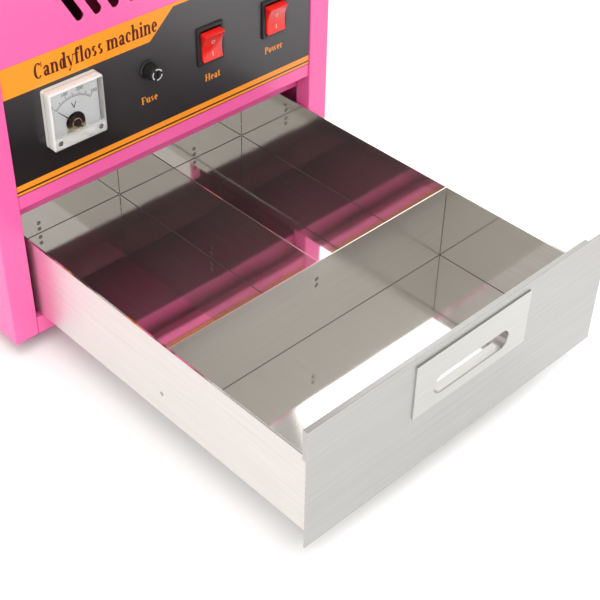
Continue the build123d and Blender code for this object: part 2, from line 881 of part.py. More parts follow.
with BuildPart() as fuse_nut:
    with BuildSketch(front_plane(panel_y + cabinet_sheet + fuse_nut_clearance)):
        with Locations((fuse_x, control_z)):
            RegularPolygon(fuse_body_radius + fuse_nut_reach, 6)
            Circle(fuse_body_radius + fuse_nut_gap, mode=Mode.SUBTRACT)
    extrude(amount=fuse_nut_height)
keep("fuse_nut", fuse_nut)

carrier_front = fuse_face + carrier_setback
with BuildPart() as fuse_carrier:
    with BuildSketch(front_plane(carrier_front)):
        with Locations((fuse_x, control_z)):
            Circle(carrier_radius)
    extrude(amount=-carrier_length)
    with BuildSketch(front_plane(carrier_front + carrier_socket)):
        with Locations((fuse_x, control_z)):
            Circle(glass_radius + glass_gap)
    extrude(amount=-carrier_length, mode=Mode.SUBTRACT)
    with BuildSketch(front_plane(carrier_front)):
        with Locations((fuse_x, control_z)):
            Circle(cap_stem_radius + shaft_running_gap)
    extrude(amount=-cap_stem_socket, mode=Mode.SUBTRACT)
keep("fuse_carrier", fuse_carrier)

with BuildPart() as glass_fuse:
    with BuildSketch(front_plane(carrier_front + carrier_socket)):
        with Locations((fuse_x, control_z)):
            Circle(glass_radius)
    extrude(amount=-glass_length)
keep("glass_fuse", glass_fuse)

cap_bottom_y = fuse_face - cap_gap
with BuildPart() as fuse_cap:
    with BuildSketch(front_plane(cap_bottom_y)):
        with Locations((fuse_x, control_z)):
            Circle(fuse_cap_radius)
    extrude(amount=fuse_cap_height, taper=cap_taper)
    fillet(fuse_cap.faces().sort_by(Axis.Y)[0].edges(), cap_edge_radius)
    with BuildSketch(front_plane(cap_bottom_y - fuse_cap_height)):
        with Locations((fuse_x, control_z)):
            Rectangle(cap_slot_width, cap_slot_length)
    extrude(amount=-cap_slot_depth, mode=Mode.SUBTRACT)
    with BuildSketch(front_plane(cap_bottom_y)):
        with Locations((fuse_x, control_z)):
            with PolarLocations(fuse_cap_radius + cap_rib_reach, cap_rib_count):
                Circle(cap_rib_radius)
    extrude(amount=fuse_cap_height - cap_rib_margin, mode=Mode.SUBTRACT)
    with BuildSketch(front_plane(cap_bottom_y)):
        with Locations((fuse_x, control_z)):
            Circle(cap_stem_radius)
    extrude(amount=-cap_stem_length)
keep("fuse_cap", fuse_cap)

# ---- motor: can with end bells, stator, bearings; the rotor turns with the shaft ----
bearing_lip_radius = shaft_radius + bearing_lip
with BuildPart() as motor_can:
    with BuildSketch(Plane.XZ):
        with BuildLine():
            Polyline(
                (bearing_radius, motor_bottom),
                (motor_radius, motor_bottom),
                (motor_radius, motor_top),
                (bearing_radius, motor_top),
                (bearing_radius, motor_top - bearing_width - motor_wall),
                (bearing_lip_radius, motor_top - bearing_width - motor_wall),
                (bearing_lip_radius, motor_top - bearing_width - 2 * motor_wall),
                (bearing_radius + motor_wall, motor_top - bearing_width - 2 * motor_wall),
                (bearing_radius + motor_wall, motor_top - motor_wall),
                (motor_radius - motor_wall, motor_top - motor_wall),
                (motor_radius - motor_wall, motor_bottom + motor_wall),
                (bearing_radius + motor_wall, motor_bottom + motor_wall),
                (bearing_radius + motor_wall, motor_bottom + bearing_width + 2 * motor_wall),
                (bearing_lip_radius, motor_bottom + bearing_width + 2 * motor_wall),
                (bearing_lip_radius, motor_bottom + bearing_width + motor_wall),
                (bearing_radius, motor_bottom + bearing_width + motor_wall),
                close=True,
            )
        make_face()
    revolve(axis=Axis.Z)
keep("motor_can", motor_can)

stator_bottom = motor_bottom + motor_end_room
stator_top = motor_top - motor_end_room
with BuildPart() as motor_stator:
    with BuildSketch(Plane.XY.offset(stator_bottom)):
        Circle(motor_radius - motor_wall)
        Circle(stator_inner, mode=Mode.SUBTRACT)
    extrude(amount=stator_top - stator_bottom)
    for end_z in (stator_bottom - winding_height, stator_top):
        with BuildSketch(Plane.XY.offset(end_z)):
            Circle(motor_radius - motor_wall - winding_inset)
            Circle(stator_inner + winding_overlap, mode=Mode.SUBTRACT)
        extrude(amount=winding_height)
keep("motor_stator", motor_stator)

bearing_inner = shaft_radius + shaft_running_gap
with BuildPart() as motor_bearings:
    for bearing_z in (motor_bottom + motor_wall, motor_top - motor_wall - bearing_width):
        with BuildSketch(Plane.XY.offset(bearing_z)):
            Circle(bearing_radius)
            Circle(bearing_inner, mode=Mode.SUBTRACT)
        extrude(amount=bearing_width)
keep("motor_bearings", motor_bearings)

with BuildPart() as motor_rotor:
    with BuildSketch(Plane.XY.offset(stator_bottom)):
        Circle(rotor_radius)
        Circle(shaft_radius, mode=Mode.SUBTRACT)
    extrude(amount=stator_top - stator_bottom)
keep("motor_rotor", motor_rotor)

with BuildPart() as drive_shaft:
    with BuildSketch(Plane.XY.offset(motor_bottom + shaft_start)):
        Circle(shaft_radius)
    extrude(amount=head_bottom - motor_bottom - shaft_start)
keep("drive_shaft", drive_shaft)

# ---- motor bracket hung from the top deck on four studs through rubber mounts ----
with BuildPart() as motor_bracket:
    with BuildSketch(Plane.XY.offset(motor_top)):
        RectangleRounded(bracket_width, bracket_width, bracket_corner)
        Circle(bearing_radius + bracket_hole_gap, mode=Mode.SUBTRACT)
        with Locations(*stud_places):
            Circle(bracket_mount_hole, mode=Mode.SUBTRACT)
    extrude(amount=bracket_sheet)
keep("motor_bracket", motor_bracket)

stud_bottom = motor_top - stud_drop
stud_top = boss_top - cabinet_sheet
with BuildPart() as bracket_studs:
    with Locations(*[(x, y, stud_bottom) for x, y in stud_places]):
        Cylinder(stud_radius, stud_top - stud_bottom + stud_tip, align=upright)
    with Locations(*[(x, y, stud_top + cabinet_sheet) for x, y in stud_places]):
        Cylinder(stud_head_radius, stud_head_height, align=upright)
    for nut_x, nut_y in stud_places:
        with BuildSketch(Plane.XY.offset(stud_bottom + stud_nut_rise)):
            with Locations((nut_x, nut_y)):
                RegularPolygon(stud_nut, 6)
        extrude(amount=stud_nut_height)
keep("bracket_studs", bracket_studs)

mount_bottom = stud_bottom + stud_nut_rise + stud_nut_height
with BuildPart() as rubber_mounts:
    with Locations(*[(x, y, mount_bottom) for x, y in stud_places]):
        Cylinder(mount_radius, motor_top - mount_bottom, align=upright)
    with Locations(*[(x, y, motor_top) for x, y in stud_places]):
        Cylinder(bracket_mount_hole, bracket_sheet, align=upright)
    with Locations(*[(x, y, bracket_top) for x, y in stud_places]):
        Cylinder(mount_radius, mount_height, align=upright)
    with Locations(*[(x, y, mount_bottom) for x, y in stud_places]):
        Cylinder(stud_radius, bracket_top + mount_height - mount_bottom, align=upright, mode=Mode.SUBTRACT)
keep("rubber_mounts", rubber_mounts)

# ---- slip rings feed the turning heater through two carbon brushes ----
with BuildPart() as ring_hub:
    with BuildSketch(Plane.XY.offset(ring_low_z - hub_margin)):
        Circle(hub_radius)
        Circle(shaft_radius, mode=Mode.SUBTRACT)
    extrude(amount=ring_pitch + ring_width + 2 * hub_margin)
keep("ring_hub", ring_hub)

with BuildPart() as slip_rings:
    for ring_z in (ring_low_z, ring_high_z):
        with BuildSketch(Plane.XY.offset(ring_z)):
            Circle(ring_radius)
            Circle(hub_radius, mode=Mode.SUBTRACT)
        extrude(amount=ring_width)
keep("slip_rings", slip_rings)

holder_x = ring_radius + holder_gap
holder_back = holder_x + holder_length
with BuildPart() as brush_holder:
    block(holder_x, holder_back, -holder_half, holder_half,
          bracket_top, ring_high_z + ring_width + holder_cover)
    for ring_z in (ring_low_z, ring_high_z):
        middle = ring_z + ring_width / 2
        block(holder_x, holder_back - brush_back_wall, -brush_width / 2, brush_width / 2,
              middle - brush_width / 2, middle + brush_width / 2, mode=Mode.SUBTRACT)
keep("brush_holder", brush_holder)

brush_half = brush_width / 2 - brush_play
with BuildPart() as carbon_brushes:
    for ring_z in (ring_low_z, ring_high_z):
        middle = ring_z + ring_width / 2
        block(ring_radius + brush_gap, holder_back - brush_spring_room, -brush_half, brush_half,
              middle - brush_half, middle + brush_half)
keep("carbon_brushes", carbon_brushes)

# ---- terminal block and motor capacitor on the electronics shelf ----
shelf_top = shelf_z + cabinet_sheet
block_top = shelf_top + block_height
way_places = [(block_x + block_pitch * (k - (block_ways - 1) / 2), block_y) for k in range(block_ways)]
with BuildPart() as terminal_block:
    block(block_x - block_half_length, block_x + block_half_length, block_y - block_half_width,
          block_y + block_half_width, shelf_top, shelf_top + block_base_height)
    block(block_x - block_half_length, block_x + block_half_length, block_y - block_ridge_half,
          block_y + block_ridge_half, shelf_top + block_base_height, block_top)
    with Locations(*[(x, y, block_top - block_hole_depth) for x, y in way_places]):
        Cylinder(block_hole_radius, block_hole_depth, align=upright, mode=Mode.SUBTRACT)
keep("terminal_block", terminal_block)

with BuildPart() as terminal_screws:
    with Locations(*[(x, y, block_top - block_hole_depth) for x, y in way_places]):
        Cylinder(block_screw_radius, block_screw_height, align=upright)
keep("terminal_screws", terminal_screws)

with BuildPart() as motor_capacitor:
    with Locations((capacitor_x, capacitor_y, shelf_top)):
        Cylinder(capacitor_radius, capacitor_height, align=upright)
    fillet(motor_capacitor.faces().sort_by(Axis.Z)[-1].edges(), capacitor_edge)
    with Locations(*[(capacitor_x + side * capacitor_tab_offset, capacitor_y, shelf_top + capacitor_height)
                     for side in (-1, 1)]):
        Box(capacitor_tab_width, capacitor_tab_thickness, capacitor_tab_height, align=upright)
keep("motor_capacitor", motor_capacitor)

clip_inner = capacitor_radius + clip_gap
clip_outer = clip_inner + clip_sheet
with BuildPart() as capacitor_clip:
    with BuildSketch(Plane.XY.offset(shelf_top + clip_rise)):
        with Locations((capacitor_x, capacitor_y)):
            Circle(clip_outer)
            Circle(clip_inner, mode=Mode.SUBTRACT)
    extrude(amount=clip_band)
    leg_x = capacitor_x + clip_outer - clip_sheet / 2
    block(leg_x, leg_x + clip_sheet, capacitor_y - clip_half_width, capacitor_y + clip_half_width,
          shelf_top, shelf_top + clip_leg_height)
    block(leg_x, leg_x + clip_foot_length, capacitor_y - clip_half_width, capacitor_y + clip_half_width,
          shelf_top, shelf_top + clip_sheet)
keep("capacitor_clip", capacitor_clip)

# ---- spinner head: base, ceramic posts, heater coil, slotted band and cap ----
with BuildPart() as head_base:
    with BuildSketch(Plane.XZ):
        with BuildLine():
            Polyline(
                (0, head_bottom),
                (head_radius - head_base_chamfer, head_bottom),
                (head_radius, head_bottom + head_base_thickness / 2),
                (head_radius, band_bottom),
                (0, band_bottom),
                close=True,
            )
        make_face()
    revolve(axis=Axis.Z)
    with BuildSketch(Plane.XY.offset(band_bottom)):
        Circle(head_hub_radius)
    extrude(amount=head_hub_height)
keep("head_base", head_base)

with BuildPart() as ceramic_posts:
    with PolarLocations(post_circle, post_count):
        with Locations((0, 0, band_bottom)):
            Cylinder(post_radius, head_band_height - post_headroom, align=upright)
keep("ceramic_posts", ceramic_posts)

with BuildPart() as heater_coil:
    with Locations(*[(0, 0, band_bottom + coil_pitch * (k + 1)) for k in range(coil_turns)]):
        Torus(post_circle + coil_offset, coil_radius)
keep("heater_coil", heater_coil)

with BuildPart() as head_band:
    with BuildSketch(Plane.XY.offset(band_bottom)):
        Circle(head_radius)
        Circle(head_radius - head_band_wall, mode=Mode.SUBTRACT)
    extrude(amount=head_band_height)
    with PolarLocations(head_radius, head_slot_count):
        with Locations((0, 0, band_bottom + head_band_height / 2)):
            Box(head_slot_reach, head_slot_width, head_band_height - 2 * head_slot_margin, mode=Mode.SUBTRACT)
keep("head_band", head_band)

with BuildPart() as head_cap:
    with BuildSketch(Plane.XZ):
        with BuildLine():
            Polyline(
                (head_radius, band_top),
                (head_radius, band_top + head_cap_thickness / 2),
                (head_radius - head_cap_chamfer, cap_top),
                (funnel_radius + funnel_lip, cap_top),
                (funnel_radius, cap_top - funnel_depth),
                (funnel_radius, cap_top - funnel_depth - funnel_edge),
                (funnel_radius + funnel_foot, band_top),
                close=True,
            )
        make_face()
    revolve(axis=Axis.Z)
keep("head_cap", head_cap)

with BuildPart() as head_nut:
    with BuildSketch(Plane.XY.offset(band_bottom + head_hub_height)):
        RegularPolygon(nut_across, 6)
    extrude(amount=nut_height)
    fillet(head_nut.faces().sort_by(Axis.Z)[-1].edges(), nut_edge)
    with BuildSketch(Plane.XY.offset(band_bottom + head_hub_height + nut_height)):
        Circle(nut_stud_radius)
    extrude(amount=nut_stud_height)
keep("head_nut", head_nut)

# ---- bowl: spun stainless pan with a centring hole and a beaded rim ----
hole_radius = boss_radius + bowl_hole_gap
lean = math.radians(bowl_wall_lean)
corner_z = bowl_bottom + bowl_corner
wall_top_z = bowl_top - bowl_bead


def bowl_corner_point(radius, angle):
    """Point of the floor-to-wall bend at this angle past the floor."""
    return (bowl_floor_radius + radius * math.sin(angle), corner_z - radius * math.cos(angle))


def bowl_wall_top(radius):
    """Where the wall that leaves the bend at this radius reaches the rim."""
    start_x, start_z = bowl_corner_point(radius, lean)
    return (start_x + (wall_top_z - start_z) / math.tan(lean), wall_top_z)


inner_corner = bowl_corner - bowl_sheet
bead_x = bowl_wall_top(bowl_corner)[0] - bowl_sheet + bowl_bead
with BuildPart() as bowl:
    with BuildSketch(Plane.XZ):
        with BuildLine():
            lip_inside = Line((hole_radius, bowl_bottom), (hole_radius, bowl_bottom + bowl_lip_height))
            lip_top = Line(lip_inside @ 1, (hole_radius + bowl_sheet, bowl_bottom + bowl_lip_height))
            lip_outside = Line(lip_top @ 1, (hole_radius + bowl_sheet, bowl_bottom + bowl_sheet))
            floor_top = Line(lip_outside @ 1, bowl_corner_point(inner_corner, 0))
            bend_inside = ThreePointArc(floor_top @ 1, bowl_corner_point(inner_corner, lean / 2),
                                        bowl_corner_point(inner_corner, lean))
            wall_inside = Line(bend_inside @ 1, bowl_wall_top(inner_corner))
            rim_edge = Line(wall_inside @ 1, bowl_wall_top(bowl_corner))
            wall_outside = Line(rim_edge @ 1, bowl_corner_point(bowl_corner, lean))
            bend_outside = ThreePointArc(wall_outside @ 1, bowl_corner_point(bowl_corner, lean / 2),
                                         bowl_corner_point(bowl_corner, 0))
            Line(bend_outside @ 1, lip_inside @ 0)
        make_face()
    revolve(axis=Axis.Z)
    with BuildSketch(Plane.XZ):
        with Locations((bead_x, wall_top_z)):
            Circle(bowl_bead)
            Circle(bowl_bead - bowl_sheet, mode=Mode.SUBTRACT)
    revolve(axis=Axis.Z)
keep("bowl", bowl)

with BuildPart() as bowl_gasket:
    with BuildSketch(Plane.XY.offset(gasket_bottom)):
        Circle(gasket_inner + gasket_width)
        Circle(gasket_inner, mode=Mode.SUBTRACT)
    extrude(amount=gasket_height)
keep("bowl_gasket", bowl_gasket)

# ---- drawer: folded tray, back, two dividers, oversize front and handle plate ----
hem_inner = tray_half - 2 * tray_sheet
wall_inner = tray_half - tray_sheet
floor_z = tray_bottom + tray_sheet
with BuildPart() as drawer_tray:
    with BuildSketch(front_plane(tray_front_y)):
        with BuildLine():
            Polyline(
                (-tray_half, tray_bottom),
                (tray_half, tray_bottom),
                (tray_half, tray_top),
                (hem_inner, tray_top),
                (hem_inner, tray_top - tray_hem),
                (wall_inner, tray_top - tray_hem),
                (wall_inner, floor_z),
                (-wall_inner, floor_z),
                (-wall_inner, tray_top - tray_hem),
                (-hem_inner, tray_top - tray_hem),
                (-hem_inner, tray_top),
                (-tray_half, tray_top),
                close=True,
            )
        make_face()
    extrude(amount=-(tray_back_y - tray_front_y))
    fillet(drawer_tray.edges().filter_by(Axis.Y).group_by(Axis.Z)[0], tray_fold_radius)
    block(-hem_inner, hem_inner, tray_front_y, tray_front_y + tray_sheet,
          tray_bottom, tray_bottom + divider_flange)
    for side in (-1, 1):
        low_x, high_x = sorted((side * tray_half, side * (tray_half - divider_flange)))
        block(low_x, high_x, tray_front_y, tray_front_y + tray_sheet, floor_z, tray_top)
    block(-hem_inner, hem_inner, tray_back_y - tray_sheet, tray_back_y, tray_bottom, tray_top)
    block(-wall_inner, wall_inner, tray_back_y - tray_sheet, tray_back_y, tray_bottom, tray_top - tray_hem)
keep("drawer_tray", drawer_tray)

with BuildPart() as cross_divider:
    block(-wall_inner + seat, wall_inner - seat, cross_y, cross_y + tray_sheet, floor_z, tray_top)
    for side in (-1, 1):
        low_x, high_x = sorted((side * (hem_inner - seat), side * tray_half))
        block(low_x, high_x, cross_y, cross_y + tray_sheet, tray_top - tray_hem - seat, tray_top,
              mode=Mode.SUBTRACT)
keep("cross_divider", cross_divider)

with BuildPart() as long_divider:
    block(-tray_sheet / 2, tray_sheet / 2, cross_y + tray_sheet, tray_back_y - tray_sheet, floor_z,
          tray_top - divider_drop)
keep("long_divider", long_divider)

slot_centre = (handle_centre_x, slot_z)
lip_outer_length = handle_slot_length + 2 * handle_plate_sheet
lip_outer_height = handle_slot_height + 2 * handle_plate_sheet
with BuildPart() as drawer_front:
    block(front_left, front_right, drawer_front_y, tray_front_y, front_bottom, front_top)
    hem_right = tray_half - front_hem_short
    hem_back = drawer_front_y + front_hem_depth
    block(front_left, hem_right, drawer_front_y, hem_back, front_top - front_sheet, front_top)
    block(front_left, hem_right, hem_back - front_sheet, hem_back, front_top - front_hem_lip, front_top)
    block(front_left, front_left + front_sheet, drawer_front_y, hem_back,
          tray_top - front_tab_overlap, front_top)
    with BuildSketch(front_plane(drawer_front_y)):
        with Locations(slot_centre):
            SlotOverall(lip_outer_length + 2 * seat, lip_outer_height + 2 * seat)
    extrude(amount=-front_sheet, mode=Mode.SUBTRACT)
keep("drawer_front", drawer_front)

plate_y = drawer_front_y - handle_plate_sheet
plate_z = front_top - handle_plate_below_top - handle_plate_height / 2
with BuildPart() as handle_plate:
    with BuildSketch(front_plane(drawer_front_y)):
        with Locations((handle_centre_x, plate_z)):
            RectangleRounded(handle_plate_width, handle_plate_height, handle_plate_corner)
    extrude(amount=handle_plate_sheet)
    with BuildSketch(front_plane(drawer_front_y)):
        with Locations(slot_centre):
            SlotOverall(lip_outer_length, lip_outer_height)
    extrude(amount=-handle_lip_depth)
    with BuildSketch(front_plane(plate_y)):
        with Locations(slot_centre):
            SlotOverall(handle_slot_length, handle_slot_height)
    extrude(amount=-(handle_lip_depth + handle_plate_sheet), mode=Mode.SUBTRACT)
    slot_edge = handle_plate.faces().sort_by(Axis.Y)[0].inner_wires()[0].edges()
    fillet(slot_edge, handle_edge_radius)
keep("handle_plate", handle_plate)

# ---- the origin is moved under the middle of the machine's whole footprint ----
bowl_edge = bead_x + bowl_bead
origin_shift = -(bowl_edge + plate_y) / 2
os.makedirs("parts", exist_ok=True)
for name, piece in pieces.items():
    placed_piece = piece.moved(Location((0, origin_shift, 0)))
    placed_piece.label = name
    export_step(placed_piece, f"parts/{name}.step")
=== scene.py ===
import json
import math
import bmesh
import bpy
from mathutils import Matrix, Vector


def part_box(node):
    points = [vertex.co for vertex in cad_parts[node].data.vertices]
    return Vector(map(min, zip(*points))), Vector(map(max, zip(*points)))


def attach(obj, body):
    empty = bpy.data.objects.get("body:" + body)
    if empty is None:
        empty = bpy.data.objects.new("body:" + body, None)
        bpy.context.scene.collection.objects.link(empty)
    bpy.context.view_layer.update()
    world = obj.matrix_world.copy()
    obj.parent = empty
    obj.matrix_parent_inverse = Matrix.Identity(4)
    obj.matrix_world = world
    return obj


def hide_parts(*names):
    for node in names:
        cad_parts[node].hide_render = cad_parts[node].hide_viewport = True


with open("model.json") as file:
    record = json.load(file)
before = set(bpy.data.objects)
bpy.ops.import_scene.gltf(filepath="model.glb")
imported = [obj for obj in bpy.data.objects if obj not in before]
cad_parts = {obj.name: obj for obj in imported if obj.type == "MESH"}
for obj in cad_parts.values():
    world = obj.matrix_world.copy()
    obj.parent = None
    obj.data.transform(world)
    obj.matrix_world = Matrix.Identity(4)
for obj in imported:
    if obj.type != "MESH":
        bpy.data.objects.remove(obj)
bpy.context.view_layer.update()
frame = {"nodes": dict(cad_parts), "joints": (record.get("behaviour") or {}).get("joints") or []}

# ======================================================================================
# Studio: a white sweep in a pale room, with an overhead diffuser, a front bank and a
# rear bank. The camera sees the room as plain white, and the metal mirrors it as grey.
# The machine stands on the sweep; nothing of the studio belongs to the machine.


def feed(tree, node, feeds):
    """Gives each input of a node its value, or links it to the socket that drives it."""
    for key, value in feeds.items():
        if isinstance(value, bpy.types.NodeSocket):
            tree.links.new(value, node.inputs[key])
        else:
            node.inputs[key].default_value = value


def put(tree, kind, feeds=None, **settings):
    """Adds a node with its settings, and feeds its inputs."""
    node = tree.nodes.new(kind)
    for key, value in settings.items():
        setattr(node, key, value)
    feed(tree, node, feeds or {})
    return node


def calc(tree, operation, first, second=0.0, clamp=False):
    """One step of arithmetic on one or two numbers."""
    node = put(tree, "ShaderNodeMath", {0: first, 1: second}, operation=operation, use_clamp=clamp)
    return node.outputs[0]


def tint(tree, share, first, second):
    """Mixes two colours by a share from 0 to 1."""
    node = put(tree, "ShaderNodeMix", {0: share, 6: first, 7: second}, data_type="RGBA")
    return node.outputs[2]


def remap(tree, value, low, high, to_low=0.0, to_high=1.0):
    """Carries a value from one range to another and stops at the range's ends."""
    node = put(tree, "ShaderNodeMapRange", {0: value, 1: low, 2: high, 3: to_low, 4: to_high})
    return node.outputs[0]


def object_place(tree):
    return put(tree, "ShaderNodeTexCoord").outputs["Object"]


def noise(tree, place, scale, detail, **more):
    """Cloudy noise from 0 to 1, which keeps mostly near its middle."""
    feeds = {"Vector": place, "Scale": scale, "Detail": detail, **more}
    return put(tree, "ShaderNodeTexNoise", feeds).outputs[0]


def new_finish(name):
    """An empty material: its node tree and its main shader."""
    material = bpy.data.materials.new(name)
    material.use_nodes = True
    return material, material.node_tree, material.node_tree.nodes["Principled BSDF"]


def link_in(name, data):
    piece = bpy.data.objects.new(name, data)
    bpy.context.scene.collection.objects.link(piece)
    return piece


floor_reach = 60.0
floor_mesh = bpy.data.meshes.new("studio_floor")
floor_mesh.from_pydata(
    [(-floor_reach, -floor_reach, 0), (floor_reach, -floor_reach, 0),
     (floor_reach, floor_reach, 0), (-floor_reach, floor_reach, 0)], [], [(0, 1, 2, 3)])
floor = link_in("studio_floor", floor_mesh)
floor_finish, tree, shader = new_finish("white_sweep")
speckle = noise(tree, object_place(tree), 3.0, 4.0)
feed(tree, shader, {
    "Base Color": tint(tree, speckle, (0.9, 0.9, 0.9, 1), (0.94, 0.94, 0.94, 1)),
    "Roughness": 0.85, "Specular IOR Level": 0.15})
floor_mesh.materials.append(floor_finish)

room = bpy.data.worlds.new("bright_room")
room.use_nodes = True
bpy.context.scene.world = room
tree = room.node_tree
direction = put(tree, "ShaderNodeTexCoord").outputs["Generated"]
height = put(tree, "ShaderNodeSeparateXYZ", {0: direction}).outputs["Z"]
walls = tint(tree, remap(tree, height, 0.0, 0.35), (0.95, 0.95, 0.95, 1), (0.82, 0.80, 0.77, 1))
sky = tint(tree, remap(tree, height, 0.55, 0.95), walls, (0.34, 0.31, 0.28, 1))
seen = put(tree, "ShaderNodeLightPath").outputs["Is Camera Ray"]
feed(tree, tree.nodes["Background"],
     {"Color": tint(tree, seen, sky, (1.0, 1.0, 1.0, 1)), "Strength": 1.0})


def light_bank(name, place, aim, size, power, mirrored):
    """A lamp with a square face; mirrored says whether metal may show it."""
    lamp = bpy.data.lights.new(name, "AREA")
    lamp.shape = "RECTANGLE"
    lamp.size, lamp.size_y = size
    lamp.energy = power
    bank = link_in(name, lamp)
    bank.visible_glossy = mirrored
    bank.location = place
    bank.rotation_euler = (Vector(aim) - Vector(place)).to_track_quat("-Z", "Y").to_euler()


overhead = bpy.data.lights.new("overhead_diffuser", "SUN")
overhead.energy = 2.2
overhead.angle = math.radians(55)
diffuser = link_in("overhead_diffuser", overhead)
toward_overhead = Vector((-0.25, -0.45, 1.0))
diffuser.rotation_euler = toward_overhead.to_track_quat("Z", "Y").to_euler()
diffuser.visible_glossy = False
light_bank("front_bank", place=(-1.7, -1.6, 1.0), aim=(0.0, -0.1, 0.15), size=(1.2, 1.2),
           power=14, mirrored=False)
light_bank("rear_bank", place=(1.5, 1.8, 1.6), aim=(0.0, 0.1, 0.2), size=(2.2, 2.2),
           power=24, mirrored=True)
bpy.context.scene.view_settings.view_transform = "Standard"

# The camera looks down on the open drawer from the left front, close enough that
# the drawer fills the frame.
camera_place = Vector((-0.497, -0.728, 0.644))
camera_azimuth = math.radians(-44.4)
camera_elevation = math.radians(39.75)
camera_roll = math.radians(-1.2)
lens_length = 75.4
toward_camera = Vector((math.sin(camera_azimuth) * math.cos(camera_elevation),
                        -math.cos(camera_azimuth) * math.cos(camera_elevation),
                        math.sin(camera_elevation)))
camera_data = bpy.data.cameras.new("camera")
camera_data.lens = lens_length
camera_data.sensor_width = 36.0
camera = link_in("camera", camera_data)
level = toward_camera.to_track_quat("Z", "Y").to_matrix().to_4x4()
camera.matrix_world = Matrix.Translation(camera_place) @ level @ Matrix.Rotation(-camera_roll, 4, "Z")
bpy.context.scene.camera = camera

# ======================================================================================
# Cabinet: folded sheet-steel panels, powder coated pink before assembly. The coat has a
# fine orange peel, is a little thinner and paler on the folds, and takes some dust.


SOCKET_KINDS = {int: "NodeSocketInt", float: "NodeSocketFloat", tuple: "NodeSocketVector",
                type(None): "NodeSocketMaterial"}


def add_inputs(tree, inputs):
    """Named inputs, each of the kind that its usual value has; None stands for a finish."""
    for label, value in inputs.items():
        socket = tree.interface.new_socket(label, in_out="INPUT", socket_type=SOCKET_KINDS[type(value)])
        if value is not None:
            socket.default_value = value


def new_group(name, inputs, outputs):
    """A shader group: its tree, what it is given and where its results go."""
    group = bpy.data.node_groups.new(name, "ShaderNodeTree")
    add_inputs(group, inputs)
    for label, kind in outputs.items():
        group.interface.new_socket(label, in_out="OUTPUT", socket_type=kind)
    return group, put(group, "NodeGroupInput").outputs, put(group, "NodeGroupOutput").inputs


def place_group(tree, group, feeds):
    return put(tree, "ShaderNodeGroup", feeds, node_tree=group).outputs


soft_edges, given, result = new_group(
    "soft_edges", {"Radius": 0.0005, "Patchiness": 220.0},
    {"Normal": "NodeSocketVector", "Wear": "NodeSocketFloat"})
rounded = put(soft_edges, "ShaderNodeBevel", {"Radius": given["Radius"]}, samples=4).outputs[0]
flat = put(soft_edges, "ShaderNodeNewGeometry").outputs["Normal"]
agree = put(soft_edges, "ShaderNodeVectorMath", {0: rounded, 1: flat},
            operation="DOT_PRODUCT").outputs["Value"]
on_fold = remap(soft_edges, agree, 0.995, 0.8)
patches = noise(soft_edges, object_place(soft_edges), given["Patchiness"], 3.0)
rubbed = calc(soft_edges, "MULTIPLY", on_fold, remap(soft_edges, patches, 0.4, 0.7), clamp=True)
soft_edges.links.new(rounded, result["Normal"])
soft_edges.links.new(rubbed, result["Wear"])

fine_grain, given, result = new_group(
    "fine_grain", {"Stretch": (900.0, 900.0, 900.0), "Detail": 4.0}, {"Grain": "NodeSocketFloat"})
stretched = put(fine_grain, "ShaderNodeVectorMath",
                {0: object_place(fine_grain), 1: given["Stretch"]}, operation="MULTIPLY").outputs[0]
fine_grain.links.new(noise(fine_grain, stretched, 1.0, given["Detail"], Roughness=0.6), result["Grain"])

handling_marks, given, result = new_group(
    "handling_marks", {"Scale": 9.0}, {"Mask": "NodeSocketFloat"})
cloudy = noise(handling_marks, object_place(handling_marks), given["Scale"], 5.0, Distortion=0.6)
handling_marks.links.new(remap(handling_marks, cloudy, 0.35, 0.7), result["Mask"])

settled_dust, given, result = new_group(
    "settled_dust", {"Scale": 160.0}, {"Mask": "NodeSocketFloat"})
up = put(settled_dust, "ShaderNodeSeparateXYZ",
         {0: put(settled_dust, "ShaderNodeNewGeometry").outputs["Normal"]}).outputs["Z"]
specks = noise(settled_dust, object_place(settled_dust), given["Scale"], 6.0, Roughness=0.7)
settled_dust.links.new(calc(settled_dust, "MULTIPLY", remap(settled_dust, up, 0.7, 1.0),
                            remap(settled_dust, specks, 0.55, 0.8), clamp=True), result["Mask"])


def grained(tree, stretch, detail):
    """A fine grain; the larger its stretch along an axis, the finer it is along it."""
    return place_group(tree, fine_grain, {"Stretch": stretch, "Detail": detail})["Grain"]


def wiping(tree, scale):
    return place_group(tree, handling_marks, {"Scale": scale})["Mask"]


def dusting(tree, scale):
    return place_group(tree, settled_dust, {"Scale": scale})["Mask"]


def softened(tree, radius, patchiness):
    """Edges with a small radius: the normal that it gives, and a mask of the rubbed places."""
    return place_group(tree, soft_edges, {"Radius": radius, "Patchiness": patchiness})


def spread(tree, grain, to_low=0.0, to_high=1.0):
    """Opens out a grain, which keeps near its middle, to a whole range."""
    return remap(tree, grain, 0.3, 0.7, to_low, to_high)


def laid_over(tree, mask, strength, under, over):
    """One colour over another where the mask is, at part of its strength."""
    return tint(tree, calc(tree, "MULTIPLY", mask, strength), under, over)


def bumped(tree, height, strength, depth, **more):
    """The normal of a surface that a height pushes in and out."""
    feeds = {"Height": height, "Strength": strength, "Distance": depth, **more}
    return put(tree, "ShaderNodeBump", feeds).outputs[0]


def shaded(colour, share):
    return tuple(share * part for part in colour[:3]) + (1,)


def dress(material, *names):
    """Gives the finish to every slot of the named pieces of the frame."""
    for name in names:
        for surface in frame["nodes"][name].material_slots:
            surface.material = material


